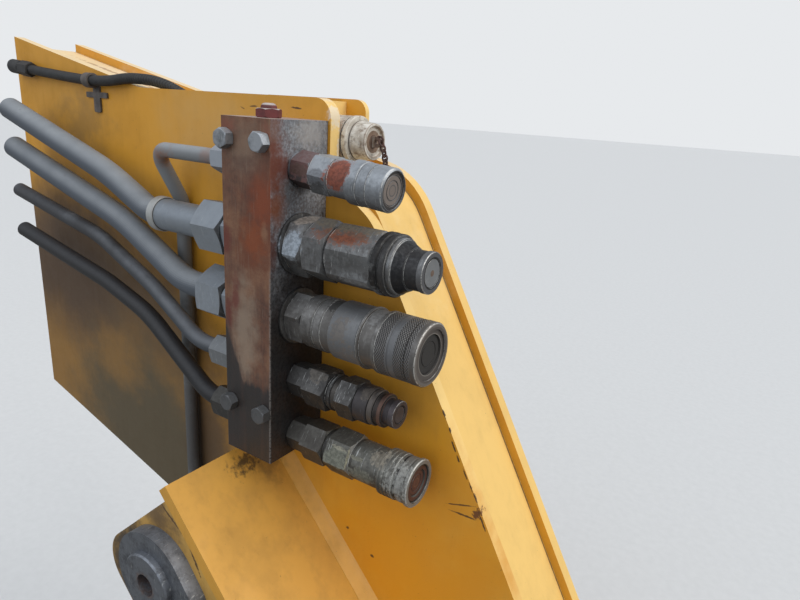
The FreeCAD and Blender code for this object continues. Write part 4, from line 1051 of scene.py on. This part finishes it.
class Arm(Group):
    """The weldment's plates and its pin.

    CHIPS holds the chips along the leg's front edge: x, z and half length.
    """

    CHIPS: tuple[Point, ...] = (
        (111.5, -191, 3), (117.5, -202, 2), (121.5, -213, 4), (126, -221.5, 2.5), (132.5, -231, 3),
        (138, -239.5, 3), (142.3, -246.5, 3), (149.5, -263, 6))
    SIDE = ArmPaint("arm_side_paint", marks=(
        # Painted shade: all rows but the first and the orange one at x 100 darken the inner plate
        # behind and below the lines.
        *marks(Side.CAMERA, 57, 40, (-120, -10, 110, 60, (0.62, 0.36, 0.11), 0.6, 40, 1),
            (-330, -290, 330, 250, (0.21, 0.11, 0.03), 0.85, 50, 0.6, 15, 0.12),
            (-350, -170, 190, 120, (0.065, 0.036, 0.02), 0.92, 40, 0.7, 0, 0.12),
            (-200, -200, 140, 80, (0.13, 0.072, 0.026), 0.85, 40, 0.8, 25, 0.15),
            (-225, -350, 190, 140, (0.08, 0.064, 0.036), 0.92, 30, 0.6, 30, 0.15),
            (-280, -262, 60, 44, (0.27, 0.135, 0.028), 0.7, 25, 0.9, 20, 0.3),
            (-138, -300, 50, 90, (0.09, 0.052, 0.026), 0.85, 20, 0.8, 0, 0.2),
            (100, -330, 150, 150, (0.64, 0.25, 0.004), 0.8, 40),
            (-310, -20, 60, 40, (0.25, 0.14, 0.04), 0.6, 20)),
        Mark((2, 62, 5), (5, 9, 12), CHALK, 0.55, 3, 0.5, ragged=0.6),
        Mark((1, 66, -30), (3, 2, 30), CHALK, 0.6, 3, 0.5, ragged=0.6),
        Mark((-218, 60, 21), (12, 6, 5), CHALK, 0.9, 3, 0.5, ragged=0.5),
        *marks(Side.CAMERA, 57, 8, (-30, 7.1, 6, 0.9, CRACK, 0.9, 2, 0.5, 3),
            (-74, 6.4, 5, 0.8, CRACK, 0.8, 2, 0.5, -4), (-86, 4.5, 3, 0.7, CRACK, 0.6, 2, 0.5, 20),
            (131, -257, 15, 0.8, CRACK, 0.85, 3, 0.5, -18),
            (135, -264, 14, 1, CRACK, 0.9, 3, 0.5, -3),
            (145, -258, 4, 6, (0.1, 0.03, 0.012), 0.9, 2.5, 0.5, 20, 0.7)),
        *marks(Side.CAMERA, 57, 1.6, *(
            (x, z, size * 1.5, 0.9, CRACK, 0.95, 2, 0.5, 62, 0.4) for x, z, size in CHIPS)),
        *marks(Side.CAMERA, 57, 8, (32, -324, 2.2, 1.6, CRACK, 0.9, 1.5, 0.5),
            (58, -339, 2.4, 1.6, CRACK, 0.9, 1.5, 0.5))))
    PLATE = ArmPaint("arm_wrap_paint", faded_and_sunlit=(0.86, 0.56, 0.17), grime_share=0.25, marks=(
        Mark((-260, 80, 30), (160, 60, 30), (0.8, 0.7, 0.56), 0.5, 30),
        # Dark line in the groove beside the outer plate's lip: rust with a painted shadow.
        Mark((0, 119.9, -200), (900, 1, 900), (0.09, 0.035, 0.016), 0.9, 5, 0.5, ragged=0.25),
        Mark((-260, 100, 30), (160, 4, 30), (0.33, 0.17, 0.07), 0.7, 7, 0.5, ragged=0.6),
        Mark((-150, 74, 15), (60, 4, 20), (0.3, 0.15, 0.06), 0.5, 8, 0.5),
        Mark((105, 90, -80), (80, 60, 70), (0.94, 0.76, 0.46), 0.5, 20, 1),
        *marks(Side.CAMERA, 100, 80, (287, -643, 66, 66, (0.17, 0.075, 0.025), 0.7, 10, 0.8),
            (287, -643, 44, 44, (0.07, 0.045, 0.03), 0.8, 6, 0.6)),
        Mark((-200, 131, -350), (300, 6, 110), (0.24, 0.14, 0.05), 0.6, 45, 1, 10, 0.15),
        *marks(Side.CAMERA, 131, 4,
            (-150, -70, 70, 1.6, (0.25, 0.12, 0.04), 0.7, 3, 0.5, 5, 0.9),
            (-120, -76, 60, 1.2, (0.22, 0.1, 0.035), 0.7, 3, 0.5, 6, 0.9),
            (-105, -84, 40, 1, (0.48, 0.27, 0.1), 0.7, 3, 0.5, 7, 0.9),
            (-300, -190, 45, 1.6, (0.25, 0.12, 0.04), 0.7, 3, 0.5, -12, 0.9),
            (75, -250, 55, 1.6, (0.22, 0.1, 0.035), 0.7, 3, 0.5, 63, 0.9)),
        Mark((60, 125, -20), (14, 8, 1.2), CRACK, 0.7, 2, 0.5, 20, 0.6),
        Mark((150, 100, -110), (2.5, 2, 3), CRACK, 0.8, 1.5, 0.5)))
    COVER = ArmPaint("housing_cover_paint", (0.62, 0.31, 0.04), (0.72, 0.375, 0.065),
                     (0.71, 0.39, 0.09), grime_share=0.5, marks=(
        Mark((-36, 14, -266), (12, 22, 13), (0.055, 0.036, 0.024), 0.85, 5, 0.7, 40, 0.6),
        Mark((-30, 30, -275), (20, 22, 12), (0.12, 0.07, 0.035), 0.6, 8, turn=40),
        Mark((30, 57, -330), (160, 7, 160), (0.7, 0.4, 0.12), 0.35, 6)))
    EAR = ArmPaint("housing_ear_paint", (0.52, 0.29, 0.06), grime_share=0.8, marks=(
        Mark((-60, -55, -290), (38, 20, 26), (0.09, 0.055, 0.03), 0.8, turn=35),
        Mark((-110, -50, -350), (30, 20, 70), (0.035, 0.026, 0.02), 0.9, soft=0.7, turn=10),
        *marks(Side.CAMERA, -55, 20, (-46, -283, 16, 1.3, CRACK, 0.85, 3, 0.5, 35, 0.6),
            (-22, -305, 22, 1.5, CRACK, 0.85, 3, 0.5, 62, 0.6),
            (-96, -330, 20, 40, (0.04, 0.03, 0.022), 0.85))))
    PIN = WornSteel(
        "pin_dark_steel", (0.175, 0.187, 0.21), (0.062, 0.064, 0.07), 0.45, 0.04, marks=(
            Mark((-57.9, -60, -339.4), (13, 60, 13), (0.16, 0.105, 0.085), 0.7, 4, 0.5),))
    COATS = (
        (SIDE, "arm_inner_plate", "ear_backing_plate", "connector_plate"),
        (PLATE, "arm_outer_plate", "arm_top_wrap", "arm_bottom_wrap", "lower_pivot_boss"),
        (COVER, "housing_cover_plate"), (EAR, "housing_ear_plate"),
        (PIN, "tilt_pin", "pin_flag", "flag_bolt"))


class Manifold(Group):
    """The block, its bolts and its plug."""

    COATS = (
        (RustedZinc("block_rusted_zinc"), "manifold_block"),
        (WornSteel("bolt_zinc", (0.36, 0.38, 0.41), (0.14, 0.15, 0.16), 0.45, 0.06, marks=(
            Mark((-20, 0, -200), (90, 60, 70), SOOT, 0.7, soft=0.5),)), "block_bolts"),
        (PlainFinish("plug_maroon", (0.15, 0.030, 0.030), (0.10, 0.022, 0.022),
                     top=(0.50, 0.46, 0.44)), "top_plug"))


class Couplers(Group):
    """The quick couplers, and the line fittings behind the block."""

    DRAIN = WornSteel(
        "drain_coupler_zinc", (0.31, 0.33, 0.355), (0.17, 0.18, 0.195), 0.45, 0.05,
        height=-31.6, droop=4.5, edges=(17.3, 33.6, 57, 65.2, 76.8),
        flanks=table(Band, (-82, -46, (0.42, 0.46, 0.52), 0.6), (0, 17, (0.17, 0.062, 0.048), 0.75),
            (32.6, 33.6, SOOT, 0.7), (46.8, 48.5, (0.12, 0.1, 0.09), 0.4), (57, 57.8, SOOT, 0.5),
            (64.4, 65.2, SOOT, 0.6)),
        faces=table(Band, (0, 3, (0.29, 0.235, 0.2), 0.85), (3, 3.8, (0.14, 0.105, 0.085), 0.6),
            (3.8, 6, (0.31, 0.25, 0.215), 0.85), (6, 6.6, (0.15, 0.115, 0.09), 0.6),
            (6.6, 10.2, (0.3, 0.245, 0.21), 0.85), (10.2, 12.4, (0.06, 0.05, 0.045)),
            (12.4, 14.6, (0.2, 0.2, 0.2), 0.6)),
        patches=table(Patch, (25, -8, 9, 34, (0.15, 0.16, 0.18), 0.8, 0.3),
            (41, 24, 11, 62, (0.23, 0.055, 0.026), 0.95, 0.5), (8, -62, 10, 60, BLACK, 0.85),
            (25, -62, 9, 45, SOOT, 0.75), (57, -80, 24, 55, (0.07, 0.068, 0.066), 0.75),
            (9, 6, 8, 22, (0.1, 0.055, 0.04), 0.7)))
    LARGE_MALE = WornSteel(
        "large_male_coupler_steel", (0.21, 0.215, 0.22), (0.085, 0.080, 0.078), 0.5, 0.05,
        height=-84.0, edges=(2.2, 18.3, 38.4, 75.2, 86, 88.9, 96, 109),
        flanks=table(Band, (-155, -147, PALE, 0.7), (-147, -92, (0.3, 0.34, 0.39), 0.7),
            (-92, -46, (0.34, 0.38, 0.43), 0.7), (0, 2, BLACK, 0.8), (36.4, 38.2, BLACK, 0.8),
            (75, 80, (0.02, 0.019, 0.019), 1), (80, 81.5, BLACK),
            # The near-black bands from 89 to 105 on the nose are oil with a painted dark
            # reflection.
            (81.5, 86, (0.032, 0.031, 0.031), 0.95), (89, 96, (0.016, 0.016, 0.018), 1),
            (96, 105, (0.026, 0.025, 0.027), 0.95), (105, 109.4, (0.12, 0.12, 0.125), 0.7)),
        faces=table(Band, (0, 2, (0.2, 0.13, 0.09), 0.8), (2, 9.4, (0.25, 0.26, 0.27), 0.85),
            (9.4, 10.3, BLACK), (10.3, 13.6, (0.12, 0.12, 0.13), 0.8)),
        patches=table(Patch, (10, 80, 9, 34, (0.4, 0.34, 0.29), 0.85, 0.3),
            (10, 10, 10, 34, (0.34, 0.39, 0.45), 0.85, 0.3),
            (46, 84, 30, 44, (0.15, 0.115, 0.07), 0.75),
            (46, 50, 24, 24, (0.18, 0.07, 0.04), 0.75, 1.1), (48, 46, 14, 12, (0.21, 0.062, 0.028)),
            (52, 2, 24, 18, (0.075, 0.074, 0.072), 0.65),
            (66, -44, 20, 26, (0.25, 0.26, 0.27), 0.4),
            (30, -70, 30, 40, (0.06, 0.058, 0.056), 0.7)))
    LARGE_FEMALE = WornSteel(
        "large_female_coupler_steel", (0.20, 0.195, 0.19), (0.085, 0.08, 0.076), 0.5, 0.06,
        height=-137.0, edges=(2.2, 18.3, 28, 36, 44.2, 68.2, 69.8, 83, 113),
        flanks=table(Band, (-98, -91, PALE, 0.7), (-91, -46, (0.34, 0.38, 0.43), 0.7),
            (0, 2, BLACK, 0.8), (28, 29.5, BLACK, 0.8), (36, 44, (0.12, 0.112, 0.105), 0.6),
            (44, 68, (0.165, 0.172, 0.182), 0.75), (70, 80, (0.11, 0.1, 0.092), 0.6),
            (83, 91.2, (0.16, 0.155, 0.155), 0.6), (91.2, 97.6, (0.15, 0.155, 0.165), 0.75),
            (97.6, 109.4, (0.16, 0.155, 0.155), 0.6), (109.4, 112.6, (0.1, 0.092, 0.086), 0.7),
            (112.6, 113.8, (0.34, 0.31, 0.28), 0.7)),
        faces=table(Band, (0, 12.6, (0.042, 0.039, 0.037)), (12.6, 13.4, BLACK),
            (13.4, 14.2, (0.26, 0.235, 0.21), 0.8), (14.2, 18.6, (0.12, 0.1, 0.088), 0.8),
            (18.6, 22, (0.2, 0.175, 0.155), 0.7)),
        knurls=table(Band, (83.4, 91.2, BLACK, 0.65), (97.6, 109.4, BLACK, 0.65)),
        patches=table(Patch, (52, 20, 7, 28, (0.15, 0.115, 0.085), 0.45, 1.4),
            (60, -45, 9, 40, (0.15, 0.11, 0.08), 0.5, 1.4), (40, 88, 5, 40, BLACK, 0.8),
            (76, 75, 6, 30, (0.3, 0.3, 0.3), 0.5)))
    SMALL_MALE = WornSteel(
        "small_male_coupler_steel", (0.088, 0.085, 0.083), (0.034, 0.032, 0.031), 0.5, 0.06,
        height=-186.6, edges=(16.2, 37, 46.2, 92.8),
        flanks=table(Band, (-89, -86, PALE, 0.6), (-86, -46, (0.32, 0.34, 0.36), 0.6),
            (37, 39, BLACK, 0.8), (41.5, 46, (0.07, 0.062, 0.055), 0.8),
            (61.5, 73, (0.055, 0.048, 0.05), 0.85), (73, 77.5, (0.115, 0.098, 0.088), 0.85),
            (77.5, 81, (0.04, 0.03, 0.027)), (81, 84, (0.13, 0.07, 0.052), 0.85),
            (84, 88.5, (0.042, 0.034, 0.038)), (88.5, 93, (0.075, 0.062, 0.068), 0.8)),
        faces=table(Band, (0, 6.2, (0.085, 0.072, 0.075)), (6.2, 6.9, BLACK),
            (6.9, 9.2, (0.075, 0.06, 0.062), 0.8), (9.2, 10.2, (0.15, 0.13, 0.125), 0.8)),
        patches=table(Patch, (28, 60, 10, 24, (0.17, 0.145, 0.12), 0.5),
            (70, 60, 5, 30, (0.18, 0.15, 0.12), 0.5)))
    SMALL_FEMALE = WornSteel(
        "small_female_coupler_steel", (0.145, 0.142, 0.128), (0.060, 0.057, 0.050), 0.5,
        0.05, height=-232.3, edges=(61.4, 98.8, 111.6),
        flanks=table(Band, (-88, -46, (0.05, 0.047, 0.045), 0.8),
            (0, 36, (0.055, 0.048, 0.043), 0.65), (36, 39, BLACK, 0.7),
            (61.6, 64, (0.05, 0.045, 0.04), 0.7), (100, 101.5, BLACK),
            (101.5, 107, (0.2, 0.195, 0.185), 0.6), (108.5, 112.2, (0.22, 0.215, 0.2), 0.6)),
        faces=table(Band, (0, 2.6, (0.13, 0.06, 0.045)), (2.6, 3.3, (0.18, 0.09, 0.065)),
            (3.3, 8.4, (0.11, 0.045, 0.034)), (8.4, 9, (0.05, 0.025, 0.02)),
            (9, 12.4, (0.1, 0.043, 0.033)), (12.4, 13.8, BLACK),
            (13.8, 18, (0.26, 0.25, 0.23), 0.8)),
        patches=table(Patch, (104, 10, 9, 60, (0.33, 0.33, 0.31), 0.6, 1.5),
            (50, 8, 12, 36, (0.19, 0.195, 0.155), 0.85),
            (51, 40, 7, 4.5, (0.33, 0.31, 0.24), 0.7, 1.2),
            (60.5, 20, 1.6, 34, (0.33, 0.3, 0.2), 0.8, 0.8),
            (68, 34, 7, 6, (0.25, 0.24, 0.18), 0.55, 1.3),
            (72, -14, 14, 26, (0.16, 0.16, 0.125), 0.7), (84, 60, 8, 30, (0.3, 0.26, 0.2), 0.5)))
    STEELS = {"drain": DRAIN, "large_male": LARGE_MALE, "large_female": LARGE_FEMALE,
              "small_male": SMALL_MALE, "small_female": SMALL_FEMALE}

    def dress(self) -> None:
        """Put each coupler's steel on its pieces and on its line fitting."""
        for line, steel in self.STEELS.items():
            inside = ("poppet",) if line.endswith("_male") else ("sleeve", "valve")
            self.shop.paint(steel, f"{line}_line_fitting", *(
                f"{line}_coupler_{piece}" for piece in ("adapter", "body", *inside)))


class Lines(Group):
    """The steel lines."""

    BIG = TubePaint("line_grey_enamel", marks=(
        # Painted shade on the big lines at the left.
        Mark((-330, 10, -120), (90, 60, 50), (0.07, 0.08, 0.1), 0.6, 30, 1),))
    SMALL = TubePaint("shaded_line_enamel", (0.05, 0.057, 0.068), (0.20, 0.21, 0.23), marks=(
        # Painted shade on the small male line at the left.
        Mark((-330, 10, -150), (220, 80, 150), (0.030, 0.030, 0.034), 0.9, 30, 0.8),))
    DRAIN = TubePaint("drain_line_enamel", (0.19, 0.20, 0.21), marks=(
        Mark((-142, 36, -38), (22, 30, 16), (0.26, 0.12, 0.07), 0.75, 6),
        Mark((-90, 28, -32), (12, 30, 12), (0.24, 0.12, 0.08), 0.5, 5),
        # Painted shade on the drain line's lower run along the plate.
        Mark((-150, 45, -290), (60, 60, 150), (0.05, 0.045, 0.042), 0.8, 12)))
    OILY = TubePaint("oily_line_enamel", (0.012, 0.012, 0.014), (0.028, 0.028, 0.032))
    COATS = (
        (BIG, "large_male_line_tube", "large_female_line_tube"), (SMALL, "small_male_line_tube"),
        (DRAIN, "drain_line_tube"), (OILY, "small_female_line_tube"))


@dataclass(frozen=True)
class Link:
    """One link of the cap's chain.

    Args:
        centre: Middle of the link.
        lean: How far it leans from hanging straight, in degrees.
        twist: Turn about its own length, in degrees.
    """

    centre: Point
    lean: float
    twist: float


class Receptacle(Group):
    """The electrical receptacle, and the chain that hangs on its cap."""

    LINKS: tuple[Link, ...] = table(
        Link, ((25.6, 84.6, -10.6), 75, 0), ((27.6, 83.6, -13.4), 35, 80),
        ((28.8, 84, -16.8), 20, 10), ((29.8, 84.4, -20.2), 12, 85), ((30.4, 84.8, -23.6), 8, 15),
        ((30.8, 85.2, -27), 4, 80), ((31, 85.6, -30.4), 0, 20))
    WIRE = 0.75
    WIDE = 1.75
    STRETCH = 1.35
    COATS = (
        (CastAlloy("receptacle_cast_alloy"), "connector_shell", "connector_cap"),
        (PlainFinish("clip_steel", (0.15, 0.13, 0.12), (0.09, 0.08, 0.075),
                     (0.10, 0.05, 0.03), metallic=0.3), "cable_clip"),
        (PlainFinish("plug_black_rubber", (0.022, 0.022, 0.023), (0.035, 0.034, 0.034),
                     (0.08, 0.07, 0.06)), "cable_plug"))

    def chain(self) -> None:
        """Hang the chain."""
        bm = bmesh.new()
        for link in self.LINKS:
            ring = bmesh.new()
            bmesh.ops.create_circle(ring, segments=8, radius=self.WIRE / 1000)
            bmesh.ops.rotate(ring, verts=ring.verts, matrix=Matrix.Rotation(math.pi / 2, 3, "X"))
            bmesh.ops.translate(ring, verts=ring.verts, vec=(self.WIDE / 1000, 0, 0))
            bmesh.ops.spin(ring, geom=ring.verts[:] + ring.edges[:], cent=(0, 0, 0),
                           axis=(0, 0, 1), angle=math.tau, steps=16, use_merge=True)
            upright = Matrix.Rotation(math.pi / 2, 4, "X")
            twist = Matrix.Rotation(math.radians(link.twist), 4, "Z")
            lean = Matrix.Rotation(math.radians(-link.lean), 4, "Y")
            long = Matrix.Diagonal((1.0, self.STRETCH, 1.0, 1.0))
            at = Matrix.Translation(place(*link.centre))
            Bench.add(bm, ring, at @ lean @ twist @ upright @ long)
        rusty = PlainFinish("chain_rust", (0.085, 0.035, 0.025), (0.045, 0.024, 0.020),
                            (0.16, 0.07, 0.04), roughness=0.7, grain=1.5)
        Bench(self.shop).piece("cap_chain", bm, rusty, "dust_cap", "rusty")


def main() -> None:
    """Build everything in order."""
    logging.basicConfig(level=logging.INFO)
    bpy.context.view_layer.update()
    studio = Studio()
    studio.camera()
    shop = Shop()
    Cable(shop).build()
    studio.light()
    studio.floor()
    receptacle = Receptacle(shop)
    for group in (Arm(shop), Manifold(shop), Couplers(shop), Lines(shop), receptacle):
        group.dress()
        LOG.info("dressed %s", type(group).__name__)
    receptacle.chain()


if __name__ == "__main__":
    main()
